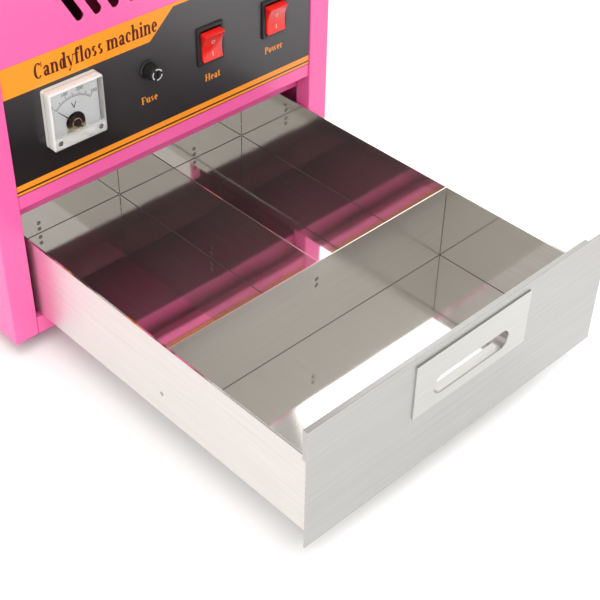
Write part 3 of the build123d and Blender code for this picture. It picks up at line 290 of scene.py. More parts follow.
pink_paint, tree, shader = new_finish("pink_powder_coat")
edges = softened(tree, 0.0009, 150.0)
peel = grained(tree, (650.0, 650.0, 650.0), 2.0)
clouds = wiping(tree, 5.0)
dust = dusting(tree, 130.0)
coat = tint(tree, clouds, (0.94, 0.135, 0.40, 1), (0.90, 0.12, 0.375, 1))
coat = laid_over(tree, edges["Wear"], 0.5, coat, (1.0, 0.36, 0.62, 1))
coat = laid_over(tree, dust, 0.16, coat, (0.85, 0.72, 0.76, 1))
feed(tree, shader, {
    "Base Color": coat,
    "Roughness": calc(tree, "ADD", spread(tree, peel, 0.26, 0.36), calc(tree, "MULTIPLY", dust, 0.2)),
    "Normal": bumped(tree, peel, 0.10, 0.0004, Normal=edges["Normal"]),
    "Coat Weight": 0.25, "Coat Roughness": 0.2})
dress(pink_paint, "left_side_panel", "right_side_panel", "base_pan", "front_panel", "top_deck",
      "back_panel", "electronics_shelf")

# ======================================================================================
# Control overlay: one film, printed on its back and stuck to the front panel. An orange
# band with a slanted end carries the name; two orange lines run along the foot.
overlay_low, overlay_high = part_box("control_overlay")
band_height = 0.0222
band_end_low, band_end_high = -0.018, 0.007
top_rule = 0.0023
rule_foot, rule_gap_low, rule_gap_high, rule_top = 0.0006, 0.0024, 0.0038, 0.0082
orange_ink = (0.98, 0.31, 0.02, 1)
dark_ink = (0.012, 0.011, 0.012, 1)


def above(tree, value, edge, softness=0.00008):
    """A crisp step at an edge, softened by the ink's spread."""
    return remap(tree, value, edge - softness, edge + softness)


def object_axes(tree):
    return put(tree, "ShaderNodeSeparateXYZ", {0: object_place(tree)}).outputs


overlay_print, tree, shader = new_finish("printed_film")
place = object_axes(tree)
along, upward = place["X"], place["Z"]
band_bottom = overlay_high.z - band_height
slant = remap(tree, upward, band_bottom, overlay_high.z, band_end_low, band_end_high)
in_band = calc(tree, "MULTIPLY", above(tree, upward, band_bottom),
               above(tree, calc(tree, "SUBTRACT", slant, along), 0.0))
in_band = calc(tree, "MAXIMUM", in_band, above(tree, upward, overlay_high.z - top_rule))
in_rules = calc(tree, "SUBTRACT", above(tree, upward, overlay_low.z + rule_foot),
                above(tree, upward, overlay_low.z + rule_top))
in_gap = calc(tree, "SUBTRACT", above(tree, upward, overlay_low.z + rule_gap_low),
              above(tree, upward, overlay_low.z + rule_gap_high))
in_rules = calc(tree, "MULTIPLY", in_rules, calc(tree, "SUBTRACT", 1.0, in_gap))
orange_share = calc(tree, "MAXIMUM", in_band, in_rules, clamp=True)
sweep = calc(tree, "ADD", remap(tree, along, overlay_low.x, overlay_high.x, 0.0, 0.8),
             remap(tree, upward, overlay_low.z, overlay_high.z, -0.35, 0.5), clamp=True)
dots = grained(tree, (2600.0, 2600.0, 2600.0), 1.0)
field = laid_over(tree, sweep, spread(tree, dots, 0.85, 1.0), dark_ink, (0.085, 0.08, 0.088, 1))
edges = softened(tree, 0.0002, 200.0)
film = grained(tree, (160.0, 160.0, 160.0), 2.0)
feed(tree, shader, {
    "Base Color": tint(tree, orange_share, field, orange_ink),
    "Roughness": remap(tree, wiping(tree, 16.0), 0.0, 1.0, 0.285, 0.295),
    "Normal": bumped(tree, film, 0.02, 0.0003, Normal=edges["Normal"])})
dress(overlay_print, "control_overlay")

# ======================================================================================
# Lettering on the film: the machine's plain name in dark ink on the orange band, and
# short orange names under the three controls. The ink stands a hair above the film.


def ink(name, colour):
    """Printed ink or a coloured filling, a little uneven in tone."""
    material, tree, shader = new_finish(name)
    mottle = grained(tree, (1800.0, 1800.0, 1800.0), 2.0)
    feed(tree, shader, {
        "Base Color": tint(tree, remap(tree, mottle, 0.4, 0.7), colour, shaded(colour, 0.82)),
        "Roughness": spread(tree, mottle, 0.28, 0.4)})
    return material


# Each letter gives its advance and its strokes, in shares of the letter height. A stem,
# hair or thin gives its place and its two ends; a bowl or dot its middle, radii and turn;
# a slope its upper end, its lower end and its breadth.
STEM, HAIR = 0.17, 0.06
BOWL_STEPS = 20
LETTER_MIDDLE = 0.3
GLYPHS = {
    "C": (0.66, "bowl .33 .36 .30 .37 45 315", "hair .58 .48 .72"),
    "F": (0.60, "stem .17 0 .72", "thin .03 .56 .70", "hair .54 .50 .70", "thin .17 .40 .37",
          "thin .03 .32 .02"),
    "H": (0.78, "stem .17 0 .72", "stem .60 0 .72", "thin .17 .60 .36", "thin .03 .31 .70",
          "thin .03 .31 .02", "thin .46 .74 .70", "thin .46 .74 .02"),
    "P": (0.62, "stem .17 0 .72", "thin .03 .36 .70", "thin .17 .36 .34", "bowl .36 .52 .22 .20 -90 90",
          "thin .03 .32 .02"),
    "a": (0.52, "stem .35 0 .38", "bowl .21 .14 .17 .15 40 340", "bowl .24 .37 .18 .13 0 160",
          "dot .11 .39 .06", "thin .35 .50 .02"),
    "c": (0.48, "bowl .25 .25 .22 .26 45 315", "dot .39 .38 .06"),
    "d": (0.58, "bowl .24 .25 .20 .26 0 360", "stem .42 0 .75", "thin .28 .42 .73", "thin .42 .56 .02"),
    "e": (0.50, "bowl .25 .25 .22 .26 0 315", "thin .08 .46 .26"),
    "f": (0.38, "stem .16 0 .62", "bowl .26 .60 .17 .16 20 180", "thin .02 .32 .48", "thin .02 .32 .02",
          "dot .34 .64 .06"),
    "h": (0.62, "stem .15 0 .75", "thin .02 .15 .73", "thin .02 .28 .02", "bowl .31 .33 .22 .17 0 180",
          "stem .46 0 .34", "thin .34 .58 .02"),
    "i": (0.32, "stem .16 0 .5", "thin .02 .16 .48", "thin .02 .30 .02", "dot .16 .66 .08"),
    "l": (0.32, "stem .16 0 .75", "thin .02 .16 .73", "thin .02 .30 .02"),
    "m": (0.92, "stem .15 0 .5", "thin .02 .15 .48", "bowl .30 .33 .22 .17 0 180", "stem .45 0 .34",
          "bowl .60 .33 .22 .17 0 180", "stem .75 0 .34", "thin .02 .28 .02", "thin .34 .58 .02",
          "thin .64 .88 .02"),
    "n": (0.62, "stem .15 0 .5", "thin .02 .15 .48", "thin .02 .28 .02", "bowl .31 .33 .22 .17 0 180",
          "stem .46 0 .34", "thin .34 .58 .02"),
    "o": (0.54, "bowl .27 .25 .24 .26 0 360"),
    "r": (0.44, "stem .15 0 .5", "thin .02 .15 .48", "thin .02 .28 .02", "bowl .29 .33 .16 .16 40 150",
          "dot .34 .41 .07"),
    "s": (0.46, "bowl .22 .37 .16 .13 30 270", "bowl .22 .13 .16 .13 -150 90"),
    "t": (0.38, "stem .17 .08 .66", "thin .02 .32 .48", "bowl .25 .12 .15 .12 180 340"),
    "u": (0.62, "stem .14 .16 .5", "bowl .29 .17 .22 .17 180 360", "stem .44 0 .5", "thin .02 .14 .48",
          "thin .32 .44 .48", "thin .44 .58 .02"),
    "w": (0.82, "slope .09 .5 .27 0 .14", "slope .42 .5 .27 0 .05", "slope .42 .5 .58 0 .14",
          "slope .76 .5 .58 0 .05", "thin .00 .22 .48", "thin .66 .84 .48"),
    "y": (0.56, "slope .11 .5 .29 0 .14", "slope .50 .5 .20 -.18 .05", "thin .00 .24 .48", "thin .40 .60 .48",
          "dot .15 -.16 .06"),
    " ": (0.22,),
}


def stroke_faces(stroke):
    """The quads of one pen stroke: upright stems are broad, level strokes are hairlines."""
    kind, *numbers = stroke.split()
    n = [float(number) for number in numbers]
    if kind in ("stem", "hair"):
        half = (STEM if kind == "stem" else HAIR) / 2
        return [[(n[0] - half, n[1]), (n[0] + half, n[1]), (n[0] + half, n[2]), (n[0] - half, n[2])]]
    if kind == "thin":
        half = HAIR / 2
        return [[(n[0], n[2] - half), (n[1], n[2] - half), (n[1], n[2] + half), (n[0], n[2] + half)]]
    if kind == "slope":
        half = n[4] / 2
        return [[(n[2] - half, n[3]), (n[2] + half, n[3]), (n[0] + half, n[1]), (n[0] - half, n[1])]]
    if kind == "dot":
        n += [n[2], 0, 360]
    radii = (n[2], n[3]), (0.0, 0.0) if kind == "dot" else (n[2] - STEM, n[3] - HAIR)
    turns = [math.radians(n[4] + (n[5] - n[4]) * k / BOWL_STEPS) for k in range(BOWL_STEPS + 1)]
    rows = [[(n[0] + rx * math.cos(turn), n[1] + ry * math.sin(turn)) for rx, ry in radii]
            for turn in turns]
    return [[first[0], second[0], second[1], first[1]] for first, second in zip(rows, rows[1:])]


def plain_mesh(name, mesh, material, smooth=True):
    """Turns worked geometry into an object with one finish."""
    data = bpy.data.meshes.new(name)
    mesh.to_mesh(data)
    mesh.free()
    for face in data.polygons:
        face.use_smooth = smooth
    data.materials.append(material)
    return link_in(name, data)


def lettering(name, words, width, height, place, material):
    """Words in heavy upright letters with hairline serifs, on a surface that faces the front.
    Each stroke stands a trace higher than the one before, so that no two lie in one plane."""
    ink_mesh = bmesh.new()
    stroke_lift = 0.0000004
    same_spot = 0.0000001
    pen = 0.0
    lift = 0.0
    total = sum(GLYPHS[letter][0] for letter in words)
    for letter in words:
        advance, *strokes = GLYPHS[letter]
        for stroke in strokes:
            lift += stroke_lift
            for face in stroke_faces(stroke):
                ink_mesh.faces.new([ink_mesh.verts.new(
                    (place[0] + ((pen + x) / total - 0.5) * width, place[1] - lift,
                     place[2] + (y - LETTER_MIDDLE) * height)) for x, y in face])
        pen += advance
    bmesh.ops.remove_doubles(ink_mesh, verts=ink_mesh.verts[:], dist=same_spot)
    return plain_mesh(name, ink_mesh, material, smooth=False)


dark_lettering = ink("dark_lettering", (0.07, 0.008, 0.003, 1))
orange_lettering = ink("orange_lettering", orange_ink)
ink_rise = 0.00004
film_front = overlay_low.y - ink_rise
name_x, name_z, name_width, name_height = -0.0624, 0.2262, 0.104, 0.0158
name_text = lettering("name_lettering", "Candyfloss machine", name_width, name_height,
                      (name_x, film_front, name_z), dark_lettering)
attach(name_text, "cabinet")
control_names = [("fuse", "Fuse", (-0.0215, 0.1705), 0.0150), ("heat", "Heat", (0.0385, 0.1668), 0.0150),
                 ("power", "Power", (0.1010, 0.1675), 0.0190)]
control_height = 0.0078
for control, words, (x, z), width in control_names:
    label = lettering(f"{control}_lettering", words, width, control_height, (x, film_front, z),
                      orange_lettering)
    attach(label, "cabinet")

# ======================================================================================
# Drawer: tray and dividers folded from mirror-finish stainless sheet, spot welded. The
# sheet keeps a faint rolling grain, slight waves and cloudy wiping marks.


def rolled_steel(name, colour, roughness, stretch, grain_depth, wave_depth, edge_radius,
                 haze=0.0, dull_beyond=1.0):
    """Sheet metal, rolled along the axis whose stretch is smallest. haze is the share of
    light that the fine grain spreads; the outer faces beyond dull_beyond are duller."""
    material, tree, shader = new_finish(name)
    grain = grained(tree, stretch, 5.0)
    wiped = wiping(tree, 7.0)
    waves = grained(tree, (16.0, 16.0, 16.0), 1.0)
    edges = softened(tree, edge_radius, 300.0)
    dust = dusting(tree, 240.0)
    streaked = tint(tree, spread(tree, grain), colour, shaded(colour, 0.9))
    streaked = laid_over(tree, edges["Wear"], 0.5, streaked, (0.95, 0.95, 0.94, 1))
    tone = calc(tree, "ADD", spread(tree, grain, *roughness),
                calc(tree, "ADD", calc(tree, "MULTIPLY", wiped, 0.03), calc(tree, "MULTIPLY", dust, 0.05)))
    dull_from, dull_to, dulling = dull_beyond - 0.0003, dull_beyond - 0.0001, 0.3
    outside = remap(tree, calc(tree, "ABSOLUTE", object_axes(tree)["X"]), dull_from, dull_to, 0.0, dulling)
    wavy = bumped(tree, waves, 0.5, wave_depth, Normal=edges["Normal"])
    bumps = bumped(tree, grain, 0.25, grain_depth, Normal=wavy)
    feed(tree, shader, {"Base Color": streaked, "Roughness": calc(tree, "ADD", tone, outside),
                        "Metallic": 1.0, "Normal": bumps})
    if haze:
        scattered = put(tree, "ShaderNodeBsdfPrincipled", {
            "Base Color": streaked, "Metallic": 0.75, "Roughness": 0.45, "Normal": bumps}).outputs[0]
        both = put(tree, "ShaderNodeMixShader", {0: haze, 1: shader.outputs[0], 2: scattered}).outputs[0]
        feed(tree, tree.nodes["Material Output"], {"Surface": both})
    return material


def moulding(name, colour, roughness, grain_size=1200.0, grain_depth=0.00004, edge_radius=0.0004,
             worn=None, dusty=0.1):
    """Moulded plastic, rubber or enamel: a fine surface, paler on rubbed edges."""
    material, tree, shader = new_finish(name)
    grain = grained(tree, (grain_size,) * 3, 3.0)
    marks = wiping(tree, 22.0)
    edges = softened(tree, edge_radius, 400.0)
    dust = dusting(tree, 300.0)
    worn = worn or tuple(min(1.0, 1.5 * part + 0.03) for part in colour[:3]) + (1,)
    body = tint(tree, spread(tree, grain), colour, shaded(colour, 0.88))
    body = laid_over(tree, edges["Wear"], 0.4, body, worn)
    body = laid_over(tree, dust, dusty, body, (0.6, 0.58, 0.56, 1))
    feed(tree, shader, {
        "Base Color": body, "Roughness": remap(tree, marks, 0.0, 1.0, *roughness),
        "Normal": bumped(tree, grain, 0.3, grain_depth, Normal=edges["Normal"])})
    return material


tray_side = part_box("drawer_tray")[1].x
mirror_steel = rolled_steel("mirror_steel", (0.80, 0.78, 0.75, 1), (0.035, 0.06), (900.0, 14.0, 900.0),
                            grain_depth=0.00001, wave_depth=0.0003, edge_radius=0.0004,
                            haze=0.1, dull_beyond=tray_side)
cross_steel = rolled_steel("mirror_steel_cross", (0.82, 0.80, 0.76, 1), (0.12, 0.18), (14.0, 900.0, 900.0),
                           grain_depth=0.00001, wave_depth=0.0003, edge_radius=0.0004, haze=0.3)
dress(mirror_steel, "drawer_tray", "long_divider")
dress(cross_steel, "cross_divider")

satin_steel = rolled_steel("satin_steel", (0.57, 0.57, 0.56, 1), (0.34, 0.46), (9.0, 1500.0, 1500.0),
                           grain_depth=0.00005, wave_depth=0.0003, edge_radius=0.0005)
dress(satin_steel, "drawer_front")
plate_steel = rolled_steel("satin_steel_plate", (0.68, 0.68, 0.66, 1), (0.32, 0.44), (9.0, 1500.0, 1500.0),
                           grain_depth=0.00005, wave_depth=0.0003, edge_radius=0.0005)
dress(plate_steel, "handle_plate")

# ======================================================================================
# Spot welds: small dimpled discs where the tray's back, the dividers and the corner
# tabs are welded, a shade duller than the sheet round them.


def new_tree(name, inputs):
    """A Geometry Nodes tree with a geometry in and out, and the given named inputs."""
    tree = bpy.data.node_groups.new(name, "GeometryNodeTree")
    tree.interface.new_socket("Geometry", in_out="INPUT", socket_type="NodeSocketGeometry")
    add_inputs(tree, inputs)
    tree.interface.new_socket("Geometry", in_out="OUTPUT", socket_type="NodeSocketGeometry")
    return tree, put(tree, "NodeGroupInput").outputs, put(tree, "NodeGroupOutput").inputs


def close_tree(tree, geometry, material, result, smooth=False):
    """Ends a tree: real geometry, shaded and with its finish."""
    real = put(tree, "GeometryNodeRealizeInstances", {0: geometry}).outputs[0]
    toned = put(tree, "GeometryNodeSetShadeSmooth", {"Geometry": real, "Shade Smooth": smooth}).outputs[0]
    finished = put(tree, "GeometryNodeSetMaterial", {"Geometry": toned, "Material": material}).outputs[0]
    tree.links.new(finished, result["Geometry"])


def facing_points(name, points):
    """Places as a mesh of loose points, each with the way that it faces."""
    mesh = bpy.data.meshes.new(name)
    mesh.from_pydata([place for place, _ in points], [], [])
    facing = mesh.attributes.new("facing", "FLOAT_VECTOR", "POINT")
    for spot, (_, way) in zip(facing.data, points):
        spot.vector = way
    return mesh


def evaluated_mesh(carrier):
    bpy.context.view_layer.update()
    return bpy.data.meshes.new_from_object(
        carrier.evaluated_get(bpy.context.evaluated_depsgraph_get()))


def grown(name, mesh, tree, values):
    """Runs a tree on a mesh and keeps the result as a plain mesh."""
    carrier = link_in(name, mesh)
    modifier = carrier.modifiers.new(tree.name, "NODES")
    modifier.node_group = tree
    for socket in tree.interface.items_tree:
        if socket.item_type == "SOCKET" and socket.in_out == "INPUT" and socket.name in values:
            modifier[socket.identifier] = values[socket.name]
    plain = evaluated_mesh(carrier)
    carrier.modifiers.clear()
    carrier.data = plain
    return carrier


def stand_on_points(tree, points, shape):
    """Instances of a shape whose +Z turns to each point's facing."""
    way = put(tree, "GeometryNodeInputNamedAttribute", {"Name": "facing"},
              data_type="FLOAT_VECTOR").outputs[0]
    turned = put(tree, "FunctionNodeAlignRotationToVector", {"Vector": way}, axis="Z").outputs[0]
    return put(tree, "GeometryNodeInstanceOnPoints",
               {"Points": points, "Instance": shape, "Rotation": turned}).outputs[0]


weld_tree, given, result = new_tree("spot_welds", {"Radius": 0.0018, "Rise": 0.0002, "Finish": None})
rim = put(weld_tree, "GeometryNodeMeshCone", {
    "Vertices": 16, "Radius Top": calc(weld_tree, "MULTIPLY", given["Radius"], 0.7),
    "Radius Bottom": given["Radius"], "Depth": given["Rise"]}).outputs[0]
close_tree(weld_tree, stand_on_points(weld_tree, given["Geometry"], rim), given["Finish"], result, True)

tray_low, tray_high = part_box("drawer_tray")
cross_low, cross_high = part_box("cross_divider")
long_low, long_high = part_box("long_divider")
sheet = 0.0008
back_inner = tray_high.y - sheet
back_weld_sides, back_weld_heights = (-0.0805, 0.0812), (0.0390, 0.0447)
long_weld_heights = (0.0400, 0.0458)
cross_weld_side, cross_weld_heights = -0.0021, (0.0796, 0.0852)
wall_weld_setback, wall_weld_height = 0.0096, 0.0535
weld_points = []
for x in back_weld_sides:
    for z in back_weld_heights:
        weld_points.append(((x, back_inner, z), (0, -1, 0)))
        weld_points.append(((x, tray_high.y, z), (0, 1, 0)))
for z in long_weld_heights:
    weld_points.append(((long_low.x, (long_low.y + long_high.y) / 2, z), (-1, 0, 0)))
for z in cross_weld_heights:
    weld_points.append(((cross_weld_side, cross_low.y, z), (0, -1, 0)))
for side, wall in ((-1, tray_low.x), (1, tray_high.x)):
    weld_points.append(((wall, cross_low.y + wall_weld_setback, wall_weld_height), (side, 0, 0)))
weld_finish = rolled_steel("weld_mark", (0.5, 0.49, 0.46, 1), (0.3, 0.45), (1500.0, 1500.0, 1500.0),
                           grain_depth=0.00005, wave_depth=0.0001, edge_radius=0.0001)
welds = grown("tray_spot_welds", facing_points("weld_places", weld_points), weld_tree,
              {"Finish": weld_finish})
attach(welds, "drawer")

# ======================================================================================
# Joint lines of the drawer: the folded flanges meet the tray's floor and walls along open
# seams, drawn as dark beads of painted shade, and two corners carry a bright fusion weld.
def round_wire(tree, path, radius):
    """A round wire or bead of a given radius along a path."""
    profile = put(tree, "GeometryNodeCurvePrimitiveCircle", {"Resolution": 6, "Radius": radius}).outputs[0]
    return put(tree, "GeometryNodeCurveToMesh",
               {"Curve": path, "Profile Curve": profile, "Fill Caps": True}).outputs[0]


seam_tree, given, result = new_tree("open_seams", {"Radius": 0.0003, "Finish": None})
path = put(seam_tree, "GeometryNodeMeshToCurve", {"Mesh": given["Geometry"]}).outputs[0]
close_tree(seam_tree, round_wire(seam_tree, path, given["Radius"]), given["Finish"], result, True)
seam_rise, seam_stop = 0.0001, 0.002
floor_top = tray_low.z + sheet + seam_rise
cross_top, long_top = cross_high.z - seam_stop, long_high.z - seam_stop
seam_left, seam_right = tray_low.x + sheet, tray_high.x - sheet
front_inner = tray_low.y + sheet
seam_ends = [
    ((seam_left, cross_low.y, floor_top), (seam_right, cross_low.y, floor_top)),
    ((seam_right, front_inner, floor_top), (seam_right, cross_low.y, floor_top)),
    ((seam_right, cross_low.y, floor_top), (seam_right, cross_low.y, cross_top)),
    ((long_low.x, cross_high.y, floor_top), (long_low.x, back_inner, floor_top)),
    ((long_low.x, back_inner, floor_top), (long_low.x, back_inner, long_top)),
    ((seam_right, cross_high.y, floor_top), (seam_right, back_inner, floor_top)),
    ((seam_right, back_inner, floor_top), (seam_right, back_inner, long_top)),
    ((seam_left, back_inner, floor_top), (seam_right, back_inner, floor_top))]
seam_mesh = bpy.data.meshes.new("seam_paths")
seam_mesh.from_pydata([end for pair in seam_ends for end in pair],
                      [(2 * k, 2 * k + 1) for k in range(len(seam_ends))], [])
# Dark beads along the seams: painted contact shade where the flanges meet the floor and walls.
painted_seam_shade = moulding("painted_seam_shade", (0.10, 0.09, 0.08, 1), (0.5, 0.65), grain_size=900.0, dusty=0.0)
seams = grown("drawer_seam_shade", seam_mesh, seam_tree, {"Finish": painted_seam_shade})
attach(seams, "drawer")

bright_weld = rolled_steel("bright_weld", (0.92, 0.90, 0.86, 1), (0.3, 0.4), (1500.0, 1500.0, 1500.0),
                           grain_depth=0.00005, wave_depth=0.0001, edge_radius=0.0001)
off_corner, off_walls = 0.0002, -0.6
bead_rises = ((0.0004, 0.5), (0.006, 0.1), (0.012, 0.0))
corner_points = [((x - off_corner, back_inner - off_corner, floor_top + rise), (off_walls, off_walls, upward))
                 for x in (long_low.x, seam_right) for rise, upward in bead_rises]
corner_welds = grown("corner_welds", facing_points("corner_weld_places", corner_points), weld_tree,
                     {"Radius": 0.0013, "Finish": bright_weld})
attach(corner_welds, "drawer")

# ======================================================================================
# Panel voltmeter: a moulded body, a white printed dial, a copper-wound movement and a
# clear cover held by two screws. The scale is printed on the dial in fine black lines.
black_plastic = moulding("black_moulding", (0.014, 0.014, 0.015, 1), (0.3, 0.42))
dial_white = moulding("dial_card", (0.90, 0.93, 0.99, 1), (0.5, 0.6), dusty=0.0)
needle_black = moulding("needle_enamel", (0.02, 0.02, 0.022, 1), (0.5, 0.6), edge_radius=0.0001)
scale_ink = ink("scale_ink", (0.03, 0.035, 0.05, 1))
meter_cream = moulding("meter_moulding", (0.78, 0.77, 0.70, 1), (0.3, 0.42))
dress(meter_cream, "meter_body")
dress(dial_white, "meter_dial")
dress(needle_black, "meter_needle")
zinc_steel = rolled_steel("zinc_plate", (0.6, 0.61, 0.63, 1), (0.28, 0.4), (700.0, 700.0, 700.0),
                          grain_depth=0.00004, wave_depth=0.0002, edge_radius=0.0003)
screw_zinc = rolled_steel("screw_plate", (0.7, 0.7, 0.69, 1), (0.2, 0.32), (2200.0, 2200.0, 2200.0),
                          grain_depth=0.00003, wave_depth=0.0001, edge_radius=0.0002)
magnet, tree, shader = new_finish("meter_magnet")
grain = grained(tree, (500.0, 500.0, 1400.0), 3.0)
needle_axis = next(joint for joint in frame["joints"] if joint["child"] == "voltmeter_needle")["pos_m"]
plate_from, plate_to = needle_axis[2] - 0.0010, needle_axis[2] - 0.0030
lower = remap(tree, object_axes(tree)["Z"], plate_from, plate_to)
plate = tint(tree, remap(tree, grain, 0.35, 0.65), (0.42, 0.36, 0.30, 1), (0.62, 0.50, 0.30, 1))
feed(tree, shader, {"Base Color": tint(tree, lower, (0.012, 0.012, 0.011, 1), plate),
                    "Roughness": spread(tree, grain, 0.35, 0.5)})
dress(magnet, "meter_movement")
dress(screw_zinc, "meter_screws")

tick_tree, given, result = new_tree("dial_ticks", {
    "Count": 7, "Radius": 0.02, "First angle": 2.3, "Sweep": -1.5, "Length": 0.003,
    "Width": 0.0003, "Rise": 0.00006, "Centre": (0, 0, 0), "Finish": None})
step = calc(tick_tree, "DIVIDE", given["Sweep"], calc(tick_tree, "SUBTRACT", given["Count"], 1.0))
index = put(tick_tree, "GeometryNodeInputIndex").outputs[0]
angle = calc(tick_tree, "ADD", given["First angle"], calc(tick_tree, "MULTIPLY", index, step))
spot = put(tick_tree, "ShaderNodeCombineXYZ", {
    0: calc(tick_tree, "MULTIPLY", calc(tick_tree, "COSINE", angle), given["Radius"]),
    2: calc(tick_tree, "MULTIPLY", calc(tick_tree, "SINE", angle), given["Radius"])}).outputs[0]
spot = put(tick_tree, "ShaderNodeVectorMath", {0: spot, 1: given["Centre"]}, operation="ADD").outputs[0]
spots = put(tick_tree, "GeometryNodePoints", {"Count": given["Count"], "Position": spot}).outputs[0]
bar_size = put(tick_tree, "ShaderNodeCombineXYZ",
               {0: given["Length"], 1: given["Rise"], 2: given["Width"]}).outputs[0]
bar = put(tick_tree, "GeometryNodeMeshCube", {"Size": bar_size}).outputs[0]
turn = put(tick_tree, "ShaderNodeCombineXYZ", {1: calc(tick_tree, "MULTIPLY", angle, -1.0)}).outputs[0]
marks = put(tick_tree, "GeometryNodeInstanceOnPoints",
            {"Points": spots, "Instance": bar, "Rotation": turn}).outputs[0]
close_tree(tick_tree, marks, given["Finish"], result)

dial_low, dial_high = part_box("meter_dial")
coil_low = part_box("meter_movement")[0]
cover_low, cover_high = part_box("meter_cover")
dial_ink_rise = 0.00003
dial_front = dial_low.y - dial_ink_rise
pivot = Vector((needle_axis[0], dial_front, needle_axis[2]))
scale_radius = 0.0200
scale_start, scale_sweep = math.radians(135), math.radians(-88)
tick_rows = [("scale_main_ticks", 7, 0.0032, 0.00032), ("scale_fine_ticks", 31, 0.0018, 0.00018)]
for name, count, length, width in tick_rows:
    ticks = grown(name, bpy.data.meshes.new(name), tick_tree, {
        "Count": count, "Radius": scale_radius + length / 2, "First angle": scale_start, "Sweep": scale_sweep,
        "Length": length, "Width": width, "Centre": pivot, "Finish": scale_ink})
    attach(ticks, "cabinet")



def around(middle, radius, angle):
    """The place at a radius and an angle from a middle, on a surface that faces the front."""
    return (middle[0] + radius * math.cos(angle), middle[1], middle[2] + radius * math.sin(angle))


def thicken(piece, thickness):
    """Gives a printed or filled mark its thickness, half of it on each side."""
    layer = piece.modifiers.new("layer", "SOLIDIFY")
    layer.thickness = thickness
    layer.offset = 0.0


arc_steps, arc_width = 40, 0.00028
arc_mesh = bmesh.new()
arc_rows = [[arc_mesh.verts.new(around(pivot, radius, scale_start + scale_sweep * k / arc_steps))
             for radius in (scale_radius, scale_radius + arc_width)] for k in range(arc_steps + 1)]
for near_row, far_row in zip(arc_rows, arc_rows[1:]):
    arc_mesh.faces.new((near_row[0], far_row[0], far_row[1], near_row[1]))
scale_arc = plain_mesh("scale_arc", arc_mesh, scale_ink, smooth=False)
thicken(scale_arc, 0.00006)
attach(scale_arc, "cabinet")


def dial_print(name, words, size, place):
    """Plain sans figures printed on the dial."""
    letters = bpy.data.curves.new(name, "FONT")
    letters.body = words
    letters.size = size
    letters.extrude = 0.00004
    letters.align_x = "CENTER"
    letters.align_y = "CENTER"
    carrier = link_in(name, letters)
    mesh = evaluated_mesh(carrier)
    bpy.data.objects.remove(carrier)
    mesh.transform(Matrix.Translation(place) @ Matrix.Rotation(math.pi / 2, 4, "X"))
    mesh.materials.clear()
    mesh.materials.append(scale_ink)
    figures = link_in(name, mesh)
    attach(figures, "cabinet")


number_count, number_size, number_radius = 4, 0.0036, scale_radius + 0.0052
unit_size, unit_height = 0.0072, 0.0132
for k in range(number_count):
    angle = scale_start + scale_sweep * k / (number_count - 1)
    dial_print(f"scale_number_{k}", str(100 * k), number_size, around(pivot, number_radius, angle))
dial_print("scale_unit", "V", unit_size, (pivot.x, dial_front, pivot.z + unit_height))

copper_wire, tree, shader = new_finish("copper_winding")
turns = grained(tree, (900.0, 9000.0, 900.0), 2.0)
feed(tree, shader, {"Base Color": tint(tree, turns, (0.80, 0.30, 0.22, 1), (0.90, 0.66, 0.30, 1)),
                    "Roughness": spread(tree, turns, 0.25, 0.45), "Metallic": 0.6})

winding_tree, given, result = new_tree("windings", {
    "Turns": 6.0, "Radius": 0.005, "Depth": 0.002, "Wire": 0.0002, "Start": (0, 0, 0), "Finish": None})
spiral = put(winding_tree, "GeometryNodeCurveSpiral", {
    "Resolution": 24, "Rotations": given["Turns"], "Start Radius": given["Radius"],
    "End Radius": given["Radius"], "Height": given["Depth"]}).outputs[0]
laid = put(winding_tree, "GeometryNodeTransform", {
    "Geometry": round_wire(winding_tree, spiral, given["Wire"]), "Translation": given["Start"],
    "Rotation": (math.pi / 2, 0, 0)}).outputs[0]
close_tree(winding_tree, laid, given["Finish"], result, True)
winding_setback = 0.0012
winding_front = coil_low.y + winding_setback

# A black half disc just behind the dial, above the needle's axis, paints the shade inside the meter window.
shade_mesh = bmesh.new()
shade_radius, shade_steps, shade_gap = 0.0084, 24, 0.00006
shade_middle = (pivot.x, dial_high.y + shade_gap, pivot.z)
shade_mesh.faces.new([shade_mesh.verts.new(around(shade_middle, shade_radius, math.pi * k / shade_steps))
                      for k in range(shade_steps + 1)])
window_shade = plain_mesh("meter_window_shade", shade_mesh, needle_black, smooth=False)
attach(window_shade, "cabinet")
winding = grown("meter_winding", bpy.data.meshes.new("meter_winding"), winding_tree, {
    "Turns": 5.0, "Radius": 0.0036, "Depth": 0.0014, "Wire": 0.00024,
    "Start": (pivot.x, winding_front, pivot.z), "Finish": copper_wire})
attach(winding, "cabinet")

clear_cover, tree, shader = new_finish("clear_cover")
edges = softened(tree, 0.0009, 300.0)
hazy = wiping(tree, 60.0)
scuffs = grained(tree, (2600.0, 400.0, 500.0), 5.0)
place = object_axes(tree)
cover_half = (cover_high.x - cover_low.x) / 2
wall_from, wall_to = cover_half - 0.0020, cover_half - 0.0010
frost_from, frost_to = cover_low.z + 0.0125, cover_low.z + 0.0080
wall_share = 0.0
for letter, middle in (("X", (cover_low.x + cover_high.x) / 2), ("Z", (cover_low.z + cover_high.z) / 2)):
    off_middle = calc(tree, "ABSOLUTE", calc(tree, "SUBTRACT", place[letter], middle))
    wall_share = calc(tree, "MAXIMUM", wall_share, remap(tree, off_middle, wall_from, wall_to))
frosted = remap(tree, place["Z"], frost_from, frost_to)
milky = calc(tree, "MAXIMUM", calc(tree, "MULTIPLY", wall_share, 0.55),
             calc(tree, "MULTIPLY", frosted, remap(tree, hazy, 0.0, 1.0, 0.3, 0.5)))
